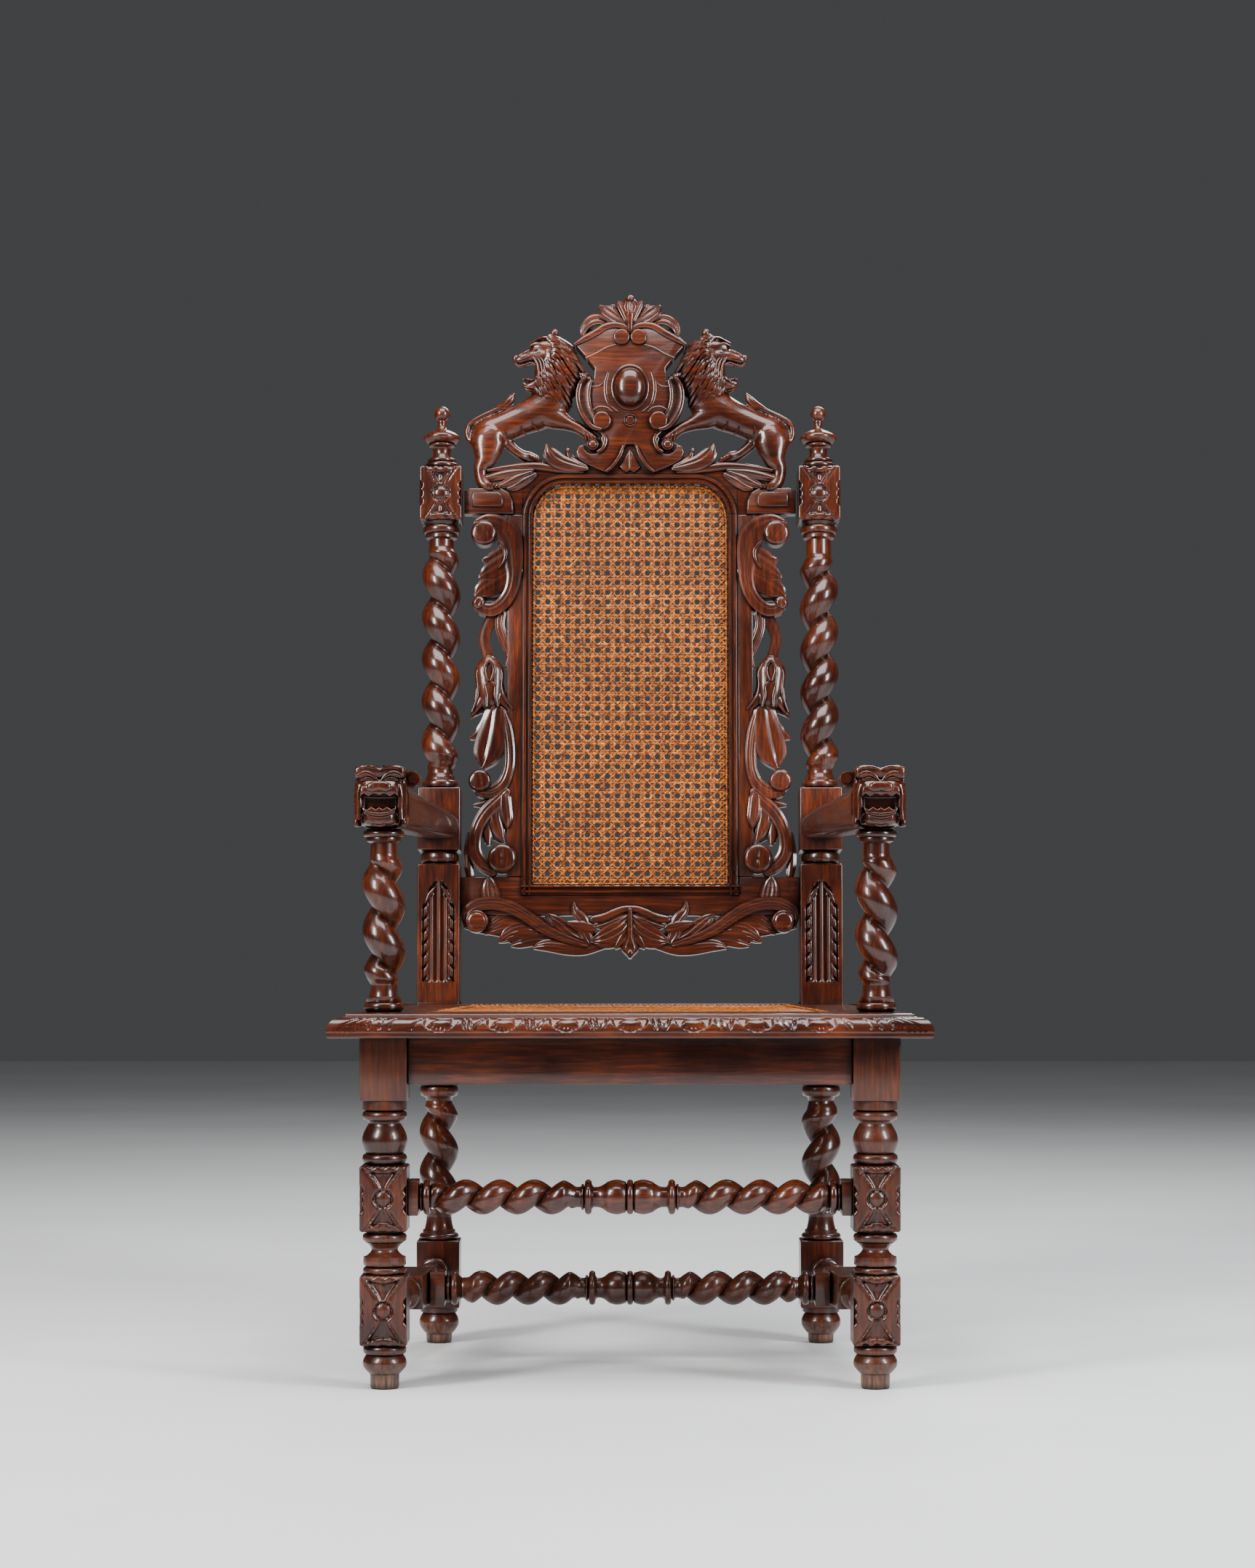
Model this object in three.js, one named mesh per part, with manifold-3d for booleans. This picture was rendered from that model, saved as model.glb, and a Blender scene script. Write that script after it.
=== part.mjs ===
// A carved oak throne: barley-twist posts, arm supports and stretchers, lion-headed arms,
// a caned seat and back, and a pierced crest with two lions beside a cartouche.
// Millimetres, +Z up. The sitter faces -Y. The origin is on the floor under the middle of the chair.

import * as THREE from "three";
import { mergeVertices } from "three/addons/utils/BufferGeometryUtils.js";
import { SimplifyModifier } from "three/addons/modifiers/SimplifyModifier.js";
import Module from "manifold-3d";

// ---- Driving dimensions -------------------------------------------------------------------

const stock = 54; // square section of the legs and posts
const half = stock / 2;
const legX = 281; // middle of each front leg, from the centre line
const postX = 243; // middle of each rear post at the seat
const postY = 420; // rear posts behind the front legs, middle to middle
const chairMiddleY = 218.66; // middle of the whole chair's depth, behind the front legs
const seatUnder = 403;
const seatTop = 431;
const rake = THREE.MathUtils.degToRad(5); // lean of the back
const rakeZ = 430; // height at which the posts start to lean
const gap = 0.3; // clearance between touching pieces
const round = 6; // sides of a turned section
const ropeSteps = 5; // stations in one turn of a twist
const mitreGap = gap * 1.4; // clearance along Y at the seat frame's slanting joints

const seat = {
  frontHalf: 342,
  rearHalf: 287,
  frontY: -72,
  rearY: 447,
  openFrontHalf: 235,
  openRearHalf: 200,
  openFrontY: 15,
  openRearY: 393, // front of the seat frame's rear member
};

const panel = {
  openHalf: 126.5, // cane opening of the back, in the leaning frame
  openLow: 151,
  openTop: 671,
  cornerWide: 42,
  cornerHigh: 46,
  mouldHalf: 138.6,
  stileHalf: 157,
  railLow: 113,
  railTop: 162,
  joint: 631, // crest meets the stiles
  front: -14,
  back: 12,
};

const oak = { color: 0x4a1d10, roughness: 0.35, metalness: 0 };
const wornOak = { color: 0x55301c, roughness: 0.5, metalness: 0 };
const caneColour = { color: 0xb4672c, roughness: 0.6, metalness: 0 };

// ---- Geometry helpers ---------------------------------------------------------------------

const wasm = await Module();
wasm.setup();

const vec = (x, y, z) => new THREE.Vector3(x, y, z);

// A copy with positions only, whose shared vertices are merged.
function welded(geometry) {
  const loose = geometry.index ? geometry.toNonIndexed() : geometry;
  const plain = new THREE.BufferGeometry();
  plain.setAttribute("position", loose.getAttribute("position").clone());
  return mergeVertices(plain, 1e-4);
}

// A closed geometry as a solid that can be joined and cut.
function toSolid(geometry) {
  const merged = welded(geometry);
  return new wasm.Manifold(
    new wasm.Mesh({
      numProp: 3,
      vertProperties: merged.getAttribute("position").array,
      triVerts: new Uint32Array(merged.index.array),
    }),
  );
}

function toGeometry(solid) {
  const mesh = solid.getMesh();
  const geometry = new THREE.BufferGeometry();
  geometry.setAttribute("position", new THREE.BufferAttribute(Float32Array.from(mesh.vertProperties), 3));
  geometry.setIndex(new THREE.BufferAttribute(Uint32Array.from(mesh.triVerts), 1));
  return geometry;
}

const join = (geometries) => toGeometry(geometries.map(toSolid).reduce((all, next) => all.add(next)));
const cut = (body, tool) => toGeometry(toSolid(body).subtract(toSolid(tool)));
const keep = (body, region) => toGeometry(toSolid(body).intersect(toSolid(region)));

function flipped(geometry) {
  const index = geometry.index.array;
  for (let i = 0; i < index.length; i += 3) {
    const first = index[i];
    index[i] = index[i + 1];
    index[i + 1] = first;
  }
  return geometry;
}

const mirrored = (geometry) => flipped(welded(geometry).scale(-1, 1, 1));

// Drops the share of the corners that shape the surface least, such as slivers left by joins.
async function simpler(geometry, share) {
  const merged = welded(geometry);
  const drop = Math.round(merged.getAttribute("position").count * share);
  return welded(await new SimplifyModifier().modify(merged, drop));
}

function signedVolume(positions, index) {
  let sum = 0;
  for (let i = 0; i < index.length; i += 3) {
    const [a, b, c] = [positions[index[i]], positions[index[i + 1]], positions[index[i + 2]]];
    sum += a.dot(b.clone().cross(c));
  }
  return sum;
}

// Skins a row of rings that have the same number of points, and closes both ends.
function loft(rings) {
  const count = rings[0].length;
  const points = rings.flat();
  const index = [];
  for (let r = 0; r + 1 < rings.length; r++) {
    for (let i = 0; i < count; i++) {
      const a = r * count + i;
      const b = r * count + ((i + 1) % count);
      index.push(a, b, b + count, a, b + count, a + count);
    }
  }
  const last = (rings.length - 1) * count;
  for (let i = 1; i + 1 < count; i++) {
    index.push(0, i + 1, i);
    index.push(last, last + i, last + i + 1);
  }
  const geometry = new THREE.BufferGeometry().setFromPoints(points);
  geometry.setIndex(new THREE.BufferAttribute(Uint32Array.from(index), 1));
  return signedVolume(points, index) < 0 ? flipped(geometry) : geometry;
}

function box(x0, x1, y0, y1, z0, z1) {
  const geometry = new THREE.BoxGeometry(x1 - x0, y1 - y0, z1 - z0);
  return geometry.translate((x0 + x1) / 2, (y0 + y1) / 2, (z0 + z1) / 2);
}

// A plan outline given by [x, y] corners, stood up from z0 to z1.
function slab(corners, z0, z1) {
  const shape = new THREE.Shape(corners.map(([x, y]) => new THREE.Vector2(x, y)));
  const geometry = new THREE.ExtrudeGeometry(shape, { depth: z1 - z0, bevelEnabled: false });
  return geometry.translate(0, 0, z0);
}

// A front outline of the back, given by [x, v] corners, between two depths.
function plate(corners, front, back) {
  const shape = new THREE.Shape(corners.map(([x, v]) => new THREE.Vector2(x, v)));
  const geometry = new THREE.ExtrudeGeometry(shape, { depth: back - front, bevelEnabled: false });
  return geometry.rotateX(Math.PI / 2).translate(0, back, 0);
}

// A turned or twisted length: rows of [radius, height, offset, direction of the offset].
function turned(rows, sides = round) {
  return loft(
    rows.map(([radius, z, offset = 0, direction = 0]) => {
      const ring = [];
      for (let i = 0; i < sides; i++) {
        const around = (2 * Math.PI * (i + 0.25)) / sides;
        const x = offset * Math.cos(direction) + radius * Math.cos(around);
        const y = offset * Math.sin(direction) + radius * Math.sin(around);
        ring.push(vec(x, y, z));
      }
      return ring;
    }),
  );
}

// Rows of a barley twist: one thick strand that winds round the axis and runs out at each end.
function twist({ low, high, pitch, hand, ridge, valley, neck, ridgeAt }) {
  const stations = Math.round(((high - low) / pitch) * ropeSteps);
  const rows = [];
  for (let s = 0; s <= stations; s++) {
    const z = low + ((high - low) * s) / stations;
    const fromEnd = Math.min(z - low, high - z);
    const grown = THREE.MathUtils.smoothstep(fromEnd, 0, pitch * 0.35);
    const radius = neck + grown * ((ridge + valley) / 2 - neck);
    rows.push([radius, z, (grown * (ridge - valley)) / 2, (hand * 2 * Math.PI * (z - ridgeAt)) / pitch]);
  }
  return rows;
}

// The two ends of a flat curve's normal at each station of [x, v, halfWidth, ...] rows.
function stationNormals(rows) {
  return rows.map((row, i) => {
    const before = rows[Math.max(i - 1, 0)];
    const after = rows[Math.min(i + 1, rows.length - 1)];
    const along = new THREE.Vector2(after[0] - before[0], after[1] - before[1]).normalize();
    return [-along.y, along.x];
  });
}

// A carved band on the back: rows of [x, v, halfWidth], flat behind and bevelled in front.
function band(rows, front, back) {
  const normals = stationNormals(rows);
  return loft(
    rows.map(([x, v, wide], i) => {
      const [nx, nv] = normals[i];
      const edge = (share, depth) => vec(x + nx * wide * share, depth, v + nv * wide * share);
      return [edge(-1, back), edge(1, back), edge(0.6, front), edge(-0.6, front)];
    }),
  );
}

// A carved leaf on the back: as a band, with a sharp keel.
function leaf(rows, front, back) {
  const normals = stationNormals(rows);
  return loft(
    rows.map(([x, v, wide], i) => {
      const [nx, nv] = normals[i];
      const edge = (share, depth) => vec(x + nx * wide * share, depth, v + nv * wide * share);
      return [edge(-1, back), edge(1, back), edge(0, front)];
    }),
  );
}

// A round limb on the back: rows of [x, v, radius, depth of its middle, depth radius].
function limb(rows, sides = 6) {
  const normals = stationNormals(rows);
  return loft(
    rows.map(([x, v, radius, middle = 0, deep = radius], i) => {
      const [nx, nv] = normals[i];
      const ring = [];
      for (let k = 0; k < sides; k++) {
        const angle = (2 * Math.PI * (k + 0.5)) / sides;
        const side = radius * Math.cos(angle);
        ring.push(vec(x + nx * side, middle + deep * Math.sin(angle), v + nv * side));
      }
      return ring;
    }),
  );
}

// A rounded knob that faces forward on the back.
function knob(x, v, radius, front, back, sides = 8, tall = radius) {
  const profile = [
    [radius, -back],
    [radius, -front - 3],
    [radius * 0.6, -front],
  ];
  const geometry = turned(profile, sides).rotateX(Math.PI / 2);
  return geometry.scale(1, 1, tall / radius).translate(x, 0, v);
}

// Shallow hourglass hollows above and below the middle of a block's front and outer face.
function hollows(low, high) {
  const middle = (low + high) / 2;
  const reach = (high - low) / 2 - 4;
  const cuts = [];
  for (const turn of [0, Math.PI / 2]) {
    for (const way of [-1, 1]) {
      const tip = vec(0, -half + 1, middle + way * 8);
      const wide = middle + way * reach;
      const deep = vec(0, -half + 5, middle + way * reach * 0.72);
      const start = vec(0, -half - 1, middle + way * 6);
      const points = [tip, vec(-15, -half - 1, wide), vec(15, -half - 1, wide), deep, start];
      const index = [4, 2, 1, 4, 1, 0, 4, 0, 2, 0, 1, 3, 0, 3, 2, 1, 2, 3];
      const geometry = new THREE.BufferGeometry().setFromPoints(points);
      geometry.setIndex(new THREE.BufferAttribute(Uint32Array.from(index), 1));
      const outward = signedVolume(points, index) < 0 ? flipped(geometry) : geometry;
      cuts.push(outward.rotateZ(turn));
    }
  }
  return cuts;
}

function carvedBlock(low, high) {
  return hollows(low, high).reduce(cut, box(-half, half, -half, half, low, high));
}

// ---- Front legs ---------------------------------------------------------------------------

function frontLeg() {
  const foot = turned([
    [15.8, 0],
    [17, 18],
    [25.2, 26],
    [25.2, 33],
    [20.5, 39],
    [25, 44],
    [23, 51.5],
  ]);
  const middle = turned([
    [25, 130],
    [25, 138],
    [23.5, 151],
    [15.2, 156],
    [17, 166],
    [25.4, 171],
    [24, 181.5],
  ]);
  const upper = turned([
    [23, 255],
    [25.7, 264],
    [22.5, 270],
    [25.5, 280],
    [18.5, 302],
    [25.7, 310],
    [25.5, 330.5],
  ]);
  const topBlock = box(-half, half, -half, half, 330, seatUnder - gap);
  return join([foot, carvedBlock(51, 131), middle, carvedBlock(181, 256), upper, topBlock]);
}

// ---- Rear posts ---------------------------------------------------------------------------

const leaning = new THREE.Matrix4().makeTranslation(0, 0, rakeZ);
leaning.multiply(new THREE.Matrix4().makeRotationX(-rake));

// An arched panel of flutes sunk in the front of the post's lower leaning block.
function flutedPanelCuts() {
  const low = 33;
  const high = 140;
  const wide = 3.6;
  const deep = 3.5;
  return [-13.5, -4.5, 4.5, 13.5].map((x) => {
    const top = high - Math.abs(x) * 1.6;
    return leaf([[x, low, wide], [x, top - 12, wide], [x, top, 0.8]], -half + deep, -half - 1);
  });
}

const postRope = { ridge: 24.8, valley: 11.8, neck: 16 }; // radii of the upright twists

function rearPost({ hand, lowerRidge, upperRidge, twistTop }) {
  const rope = { ...postRope, hand };
  const foot = turned([
    [15.4, 0],
    [16.5, 12],
    [25.2, 20],
    [25.2, 30],
    [24, 46.5],
  ]);
  const footBlock = box(-half, half, -half, half, 46, 131);
  const lowerTwist = turned([
    [25, 130.5],
    [25, 139],
    [16, 148],
    ...twist({ ...rope, low: 160, high: 308, pitch: 51.5, ridgeAt: lowerRidge }),
    [24, 316],
    [24, 328.5],
  ]);
  const seatBlock = box(-half, half, -half, half, 328, rakeZ + 4);
  const panelBlock = flutedPanelCuts().reduce(cut, box(-half, half, -half, half, -4, 177.6));
  const shoulder = turned([
    [20, 177.4],
    [24.5, 183],
    [24.5, 190],
    [20, 195.4],
  ]);
  const armBlock = box(-half, half, -half, half, 195, 275);
  const upperTwist = turned([
    [23.3, 274.5],
    [23.3, 285],
    ...twist({ ...rope, low: 298, high: twistTop, pitch: 54.35, ridgeAt: upperRidge }),
    [16, 600],
    [23.7, 607],
    [23.7, 614],
    [20, 621.5],
  ]);
  const finial = turned([
    [21.8, 690.5],
    [21.8, 705],
    [11.5, 712],
    [24.1, 727],
    [22, 736],
    [5.3, 746],
    [10.3, 760],
    [10.3, 767],
    [4, 774],
  ]);
  const above = [panelBlock, shoulder, armBlock, upperTwist, carvedBlock(621, 691), finial];
  above.forEach((piece) => piece.applyMatrix4(leaning));
  return join([foot, footBlock, lowerTwist, seatBlock, ...above]);
}

// ---- Arm supports -------------------------------------------------------------------------

const armUnder = 641;

function armSupport(ridgeAt) {
  return turned([
    [21, seatTop + gap],
    [23, 434],
    [23, 440],
    [15.8, 450],
    ...twist({ ...postRope, neck: 15.5, hand: -1, low: 462, high: 612, pitch: 53.5, ridgeAt }),
    [15.1, 624],
    [23.7, 632],
    [22, armUnder - gap],
  ]);
}

// ---- Arms with lion heads -----------------------------------------------------------------

// A cross-section of the arm at depth y: [middle x, half width, top height].
function armRing(y, x, wide, top) {
  const rise = top - armUnder;
  const outline = [
    [-0.86, 0],
    [0.86, 0],
    [1, 0.16],
    [1, 0.62],
    [0.6, 0.97],
    [-0.6, 0.97],
    [-1, 0.62],
    [-1, 0.16],
  ];
  return outline.map(([a, b]) => vec(x + a * wide, y, armUnder + b * rise));
}

const headX = 284;
const armEndY = postY - half + 20.2; // front of the leaning post at arm height

function armBody() {
  return loft([
    armRing(4, headX, 25, 698),
    armRing(90, headX - 6, 27, 691),
    armRing(210, headX - 18, 27, 684),
    armRing(330, headX - 33, 26, 677),
    armRing(armEndY + 2, postX, 26, 671),
  ]);
}

// Rings of a head's part, swept along Y: [y, low, high, half width] with cut upper corners.
function headPart(rows, x = headX) {
  return loft(
    rows.map(([y, low, high, wide]) => {
      const chamfer = Math.min(wide, high - low) * 0.3;
      return [
        vec(x - wide, y, low),
        vec(x + wide, y, low),
        vec(x + wide, y, high - chamfer),
        vec(x + wide - chamfer, y, high),
        vec(x - wide + chamfer, y, high),
        vec(x - wide, y, high - chamfer),
      ];
    }),
  );
}

function lionHead() {
  const skull = headPart([
    [-31, 664, 699, 21],
    [-18, 646, 708, 27],
    [12, 644, 701, 29],
  ]);
  const muzzle = headPart([
    [-50, 674, 691, 15],
    [-42, 669, 697, 19],
    [-20, 668, 700, 20],
  ]);
  const jaw = headPart([
    [-45, 649, 661, 14],
    [-36, 644, 665, 18],
    [-12, 644, 668, 20],
  ]);
  const brows = [-1, 1].map((side) =>
    headPart(
      [
        [-40, 695, 703, 8],
        [-28, 698, 711, 12],
        [-6, 698, 709, 12],
      ],
      headX + side * 13,
    ),
  );
  const flaps = [-1, 1].map((side) =>
    headPart(
      [
        [-34, 652, 690, 4],
        [4, 644, 699, 4.5],
      ],
      headX + side * 27,
    ),
  );
  const basePlate = box(headX - 29, headX + 29, -30, 14, armUnder, 646);
  return [skull, muzzle, jaw, ...brows, ...flaps, basePlate];
}

async function arm() {
  const whole = join([armBody(), await simpler(join(lionHead()), 0.3)]);
  const postFront = box(0, 400, -half - gap, 200, 100, 400).applyMatrix4(leaning).translate(0, postY, 0);
  return cut(whole, postFront);
}

// ---- Seat ---------------------------------------------------------------------------------

// The frame's section: [share of the way from the outer edge to the opening, height].
const seatSection = [
  [0, seatUnder],
  [1, seatUnder],
  [1, seatTop],
  [0.245, seatTop],
  [0.18, 427.5],
  [0.085, 423],
  [0.015, 416],
  [0, 408],
];

// One member of the seat frame between two ends, each [outer corner, opening corner] in plan.
function seatMember(ends) {
  return loft(
    ends.map(([outer, inner]) =>
      seatSection.map(([share, z]) => {
        const x = outer[0] + share * (inner[0] - outer[0]);
        const y = outer[1] + share * (inner[1] - outer[1]);
        return vec(x, y, z);
      }),
    ),
  );
}

// Half-round hollows in the sloping edge that runs from one point to another.
function lunettes(from, to, count) {
  const outline = [
    [-21, 16],
    [-8, 4],
    [8, 4],
    [21, 16],
  ];
  const slope = THREE.MathUtils.degToRad(52);
  const along = to.clone().sub(from);
  const cuts = [];
  for (let i = 0; i < count; i++) {
    const shape = new THREE.Shape(outline.map(([x, y]) => new THREE.Vector2(x, y)));
    const hollow = new THREE.ExtrudeGeometry(shape, { depth: 8, bevelEnabled: false });
    hollow.translate(0, 1.5, -0.6).rotateX(slope);
    hollow.rotateZ(Math.atan2(along.y, along.x));
    const at = from.clone().addScaledVector(along, (i + 0.5) / count);
    cuts.push(hollow.translate(at.x, at.y, 408));
  }
  return cuts;
}

function seatFrameFront() {
  const left = [
    [-seat.frontHalf, seat.frontY],
    [-seat.openFrontHalf, seat.openFrontY],
  ];
  const right = left.map(([x, y]) => [-x, y]);
  const from = new THREE.Vector2(-248, seat.frontY);
  const to = new THREE.Vector2(248, seat.frontY);
  return lunettes(from, to, 7).reduce(cut, seatMember([left, right]));
}

// Everything that the rear post and the board beside it take out of a seat member.
function postRoom() {
  return box(0, postX + half + gap, postY - half - gap, 600, 300, 500);
}

function seatFrameSide() {
  const ends = [
    [
      [seat.frontHalf, seat.frontY + mitreGap],
      [seat.openFrontHalf, seat.openFrontY + mitreGap],
    ],
    [
      [seat.rearHalf, seat.rearY],
      [seat.openRearHalf - 5, seat.rearY],
    ],
  ];
  const from = new THREE.Vector2(338, -30);
  const to = new THREE.Vector2(294, 385);
  return lunettes(from, to, 6).reduce(cut, cut(seatMember(ends), postRoom()));
}

function seatFrameRear() {
  const reach = postX - half - gap;
  return box(-reach, reach, seat.openRearY, seat.rearY, seatUnder, seatTop);
}

function seatCane() {
  const inset = gap * 1.5;
  const front = seat.openFrontHalf - inset;
  const rear = seat.openRearHalf - inset;
  return slab(
    [
      [-front, seat.openFrontY + gap],
      [front, seat.openFrontY + gap],
      [rear, seat.openRearY - gap],
      [-rear, seat.openRearY - gap],
    ],
    425,
    429,
  );
}

// ---- Boards under the seat ----------------------------------------------------------------

const boardLow = 349;
const boardTop = seatUnder - gap;

function apronSide() {
  const thick = 12;
  return slab(
    [
      [legX - thick, half + gap],
      [legX + thick, half + gap],
      [postX + thick, postY - half - gap],
      [postX - thick, postY - half - gap],
    ],
    boardLow,
    boardTop,
  );
}

// ---- Stretchers ---------------------------------------------------------------------------

// A twisted bar along X, mirrored about a pair of bulbs in the middle, with square ends.
function twistedBar({ reach, endLong, endTall, rings, ropeEnd, pitch, finAt, ridge }) {
  const neck = ridge * 0.6;
  const rope = { pitch, hand: -1, ridge, valley: ridge * 0.48, neck };
  const halfMiddle = [
    [ridge * 0.98, -finAt],
    [neck, 8 - finAt],
    [ridge * 0.99, -15],
    [ridge * 0.8, -4],
  ];
  const inner = reach - endLong;
  const halfEnd = [...rings.map(([r, back]) => [r, inner - back]), [ridge * 0.7, inner + 1]];
  const opposite = (rows) => rows.map(([r, z]) => [r, -z]).reverse();
  const bar = turned(
    [
      ...opposite(halfEnd),
      ...twist({ ...rope, low: -ropeEnd, high: -finAt - 3, ridgeAt: -pitch * 0.3 }),
      ...halfMiddle,
      ...opposite(halfMiddle),
      ...twist({ ...rope, low: finAt + 3, high: ropeEnd, ridgeAt: pitch * 0.3 }),
      ...halfEnd,
    ],
    6,
  );
  const tall = endTall / 2;
  const blocks = [-1, 1].map((side) => {
    const [near, far] = [side * inner, side * reach].sort((a, b) => a - b);
    return box(-tall, tall, -tall, tall, near, far);
  });
  return join([bar, ...blocks]).rotateY(Math.PI / 2);
}

const sideBarTurn = Math.atan2(legX - postX, postY);
const sideBarX = (legX + postX) / 2;
const lowBarZ = 92;

function placeSideBar(geometry) {
  return geometry.rotateZ(sideBarTurn).translate(sideBarX, postY / 2, lowBarZ);
}

const sideBlock = (grow) => box(-20 - grow, 20 + grow, -56 - grow, 56 + grow, -20 - grow, 20 + grow);

function sideStretcher() {
  const turnedEnd = [
    [20, 55],
    [20, 62],
    [13, 67],
    [19.5, 78],
    [12, 92],
    [16.5, 135],
    [13, 163],
    [19.5, 170],
    [18, 200],
  ];
  const ends = [-1, 1].map((side) => turned(turnedEnd, 6).rotateX((-side * Math.PI) / 2));
  const bar = placeSideBar(join([sideBlock(0), ...ends]));
  return keep(bar, box(100, 400, half + gap, postY - half - gap, 0, 200));
}

function crossStretcher() {
  const bar = twistedBar({
    reach: 252,
    endLong: 28,
    endTall: 41,
    rings: [
      [20, 13],
      [15, 10],
      [20.5, 7],
    ],
    ropeEnd: 206,
    pitch: 37.5,
    finAt: 48,
    ridge: 20.7,
  }).translate(0, postY / 2, lowBarZ);
  const rooms = [placeSideBar(sideBlock(gap)), mirrored(placeSideBar(sideBlock(gap)))];
  return rooms.reduce(cut, bar);
}

function frontStretcher() {
  return twistedBar({
    reach: legX - half - gap,
    endLong: 12,
    endTall: 40,
    rings: [
      [20, 13],
      [16, 5],
    ],
    ropeEnd: 226,
    pitch: 39.3,
    finAt: 50,
    ridge: 20,
  }).translate(0, 0, 219);
}

// ---- Back: frame --------------------------------------------------------------------------

// The rounded top corner of the cane opening, grown outwards, from the side to the top.
function openingCorner(grow, steps = 5) {
  const wide = panel.cornerWide + grow;
  const high = panel.cornerHigh + grow;
  const points = [];
  for (let i = 0; i <= steps; i++) {
    const angle = (Math.PI / 2) * (i / steps);
    const x = panel.openHalf - panel.cornerWide + wide * Math.cos(angle);
    const v = panel.openTop - panel.cornerHigh + high * Math.sin(angle);
    points.push([x, v]);
  }
  return points;
}

function backCane() {
  const arc = openingCorner(-gap);
  const low = panel.openLow + gap;
  const side = panel.openHalf - gap;
  const outline = [[-side, low], [side, low], ...arc, ...arc.map(([x, v]) => [-x, v]).reverse()];
  return plate(outline, -4, -1);
}

// Carving beside the cane: bands, leaves and knobs from the top to the bottom, right-hand side.
function sideCarving() {
  const { front } = panel;
  const behind = 8;
  return [
    band([[178, 624, 6], [158, 615, 9], [147, 592, 11], [149, 555, 9], [160, 524, 8], [184, 507, 8],
      [197, 514, 7]], front - 2, behind),
    knob(188, 606, 17, front - 5, behind, 7),
    leaf([[152, 583, 6], [170, 573, 7], [189, 571, 4]], front, behind),
    leaf([[150, 566, 12], [174, 553, 11], [197, 544, 3]], front, behind),
    leaf([[150, 552, 10], [178, 537, 11], [200, 525, 2]], front, behind),
    band([[174, 504, 6], [187, 478, 6.5], [181, 446, 6]], front + 3, behind - 2),
    band([[166, 504, 6], [166, 485, 5.5], [155, 452, 5], [168, 428, 4]], front + 3, behind - 2),
    knob(180, 431, 18, front - 3, behind, 7, 21),
    leaf([[180, 416, 12], [189, 390, 9], [206, 364, 1.5]], front, behind),
    leaf([[178, 416, 11], [180, 390, 13], [180, 371, 6]], front - 3, behind),
    leaf([[172, 418, 8], [164, 388, 8], [141, 369, 1.5]], front, behind),
    leaf([[174, 376, 7], [183, 350, 8], [204, 341, 1.5]], front, behind),
    leaf([[172, 372, 9], [180, 330, 16], [188, 299, 3]], front - 2, behind),
    band([[168, 366, 6], [156, 338, 7], [155, 298, 6], [171, 273, 7], [190, 274, 7]], front - 2, behind),
    knob(192, 284, 15, front - 5, behind, 7),
    leaf([[168, 266, 6], [200, 255, 1.5]], front + 2, behind),
    band([[160, 268, 6], [186, 243, 8], [199, 208, 8], [193, 181, 10], [172, 169, 9]], front - 2, behind),
    knob(163, 185, 18, front - 5, behind, 7),
    leaf([[168, 260, 9], [175, 236, 11], [163, 204, 3]], front, behind),
    leaf([[202, 205, 6], [203, panel.railTop + gap + 0.3, 5]], front + 2, behind),
  ];
}

async function backStile() {
  const { front, back } = panel;
  const low = panel.railTop + gap;
  const top = panel.joint - gap;
  const post = plate([[panel.mouldHalf, low], [panel.stileHalf, low], [panel.stileHalf, top],
    [panel.mouldHalf, top]], front + 4, back);
  const mould = plate([[panel.openHalf, low], [panel.mouldHalf, low], [panel.mouldHalf, top],
    [panel.openHalf, top]], front, back);
  const whole = join([post, mould, ...sideCarving()]);
  return simpler(keep(whole, box(0, postX - half - gap, -60, 60, low, top)), 0.38);
}

async function backBottomRail() {
  const { front, back } = panel;
  const reach = postX - half - gap;
  const ends = panel.mouldHalf;
  const board = plate([
    [-reach, panel.railLow], [reach, panel.railLow], [reach, panel.railTop], [panel.openHalf, panel.railTop],
    [panel.openHalf, panel.openLow], [-panel.openHalf, panel.openLow], [-panel.openHalf, panel.railTop],
    [-reach, panel.railTop],
  ], front + 5, back);
  const mould = plate([[-ends, 138], [ends, 138], [ends, 150.9], [-ends, 150.9]], front, back);
  const lobes = [
    plate([[213, 97], [195, 90], [164, 85], [161, 77], [148, 72], [121, 76], [119, 69], [98, 69],
      [58, 62.5], [24, 72], [0, 60], [0, 84], [60, 86], [95, 98], [125, 120], [150, 131], [208, 120]],
      front + 3, back - 2),
    band([[206, 112, 6], [188, 130, 6], [150, 123, 7], [108, 95, 6], [64, 76, 5], [34, 71, 4]],
      front - 4, back - 2),
    knob(196, 104, 15, front - 6, back - 2, 7),
    leaf([[175, 106, 12], [156, 92, 15], [155, 75, 3]], front - 2, back - 2),
    leaf([[60, 84, 8], [90, 96, 9], [107, 116, 3]], front - 1, back - 2),
    leaf([[46, 84, 10], [62, 102, 13], [71, 128, 1.5]], front - 2, back - 2),
    leaf([[8, 76, 10], [30, 82, 11], [46, 80, 2]], front - 4, back - 2),
    leaf([[6, 88, 8], [38, 99, 3]], front - 2, back - 2),
    leaf([[4, 116, 6], [20, 118, 5], [46, 108, 3]], front - 2, back - 2),
  ];
  const ridge = leaf([[0, 59, 5], [0, 75, 12], [0, 104, 9], [0, 123, 6]], front - 7, back - 2);
  const buds = [-180, 180].map((x) => leaf([[x, 130, 10], [x, 150, 10], [x, 162, 3]], front, 0));
  return simpler(join([board, mould, ridge, ...lobes, ...lobes.map(mirrored), ...buds]), 0.38);
}

// ---- Crest --------------------------------------------------------------------------------

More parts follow.
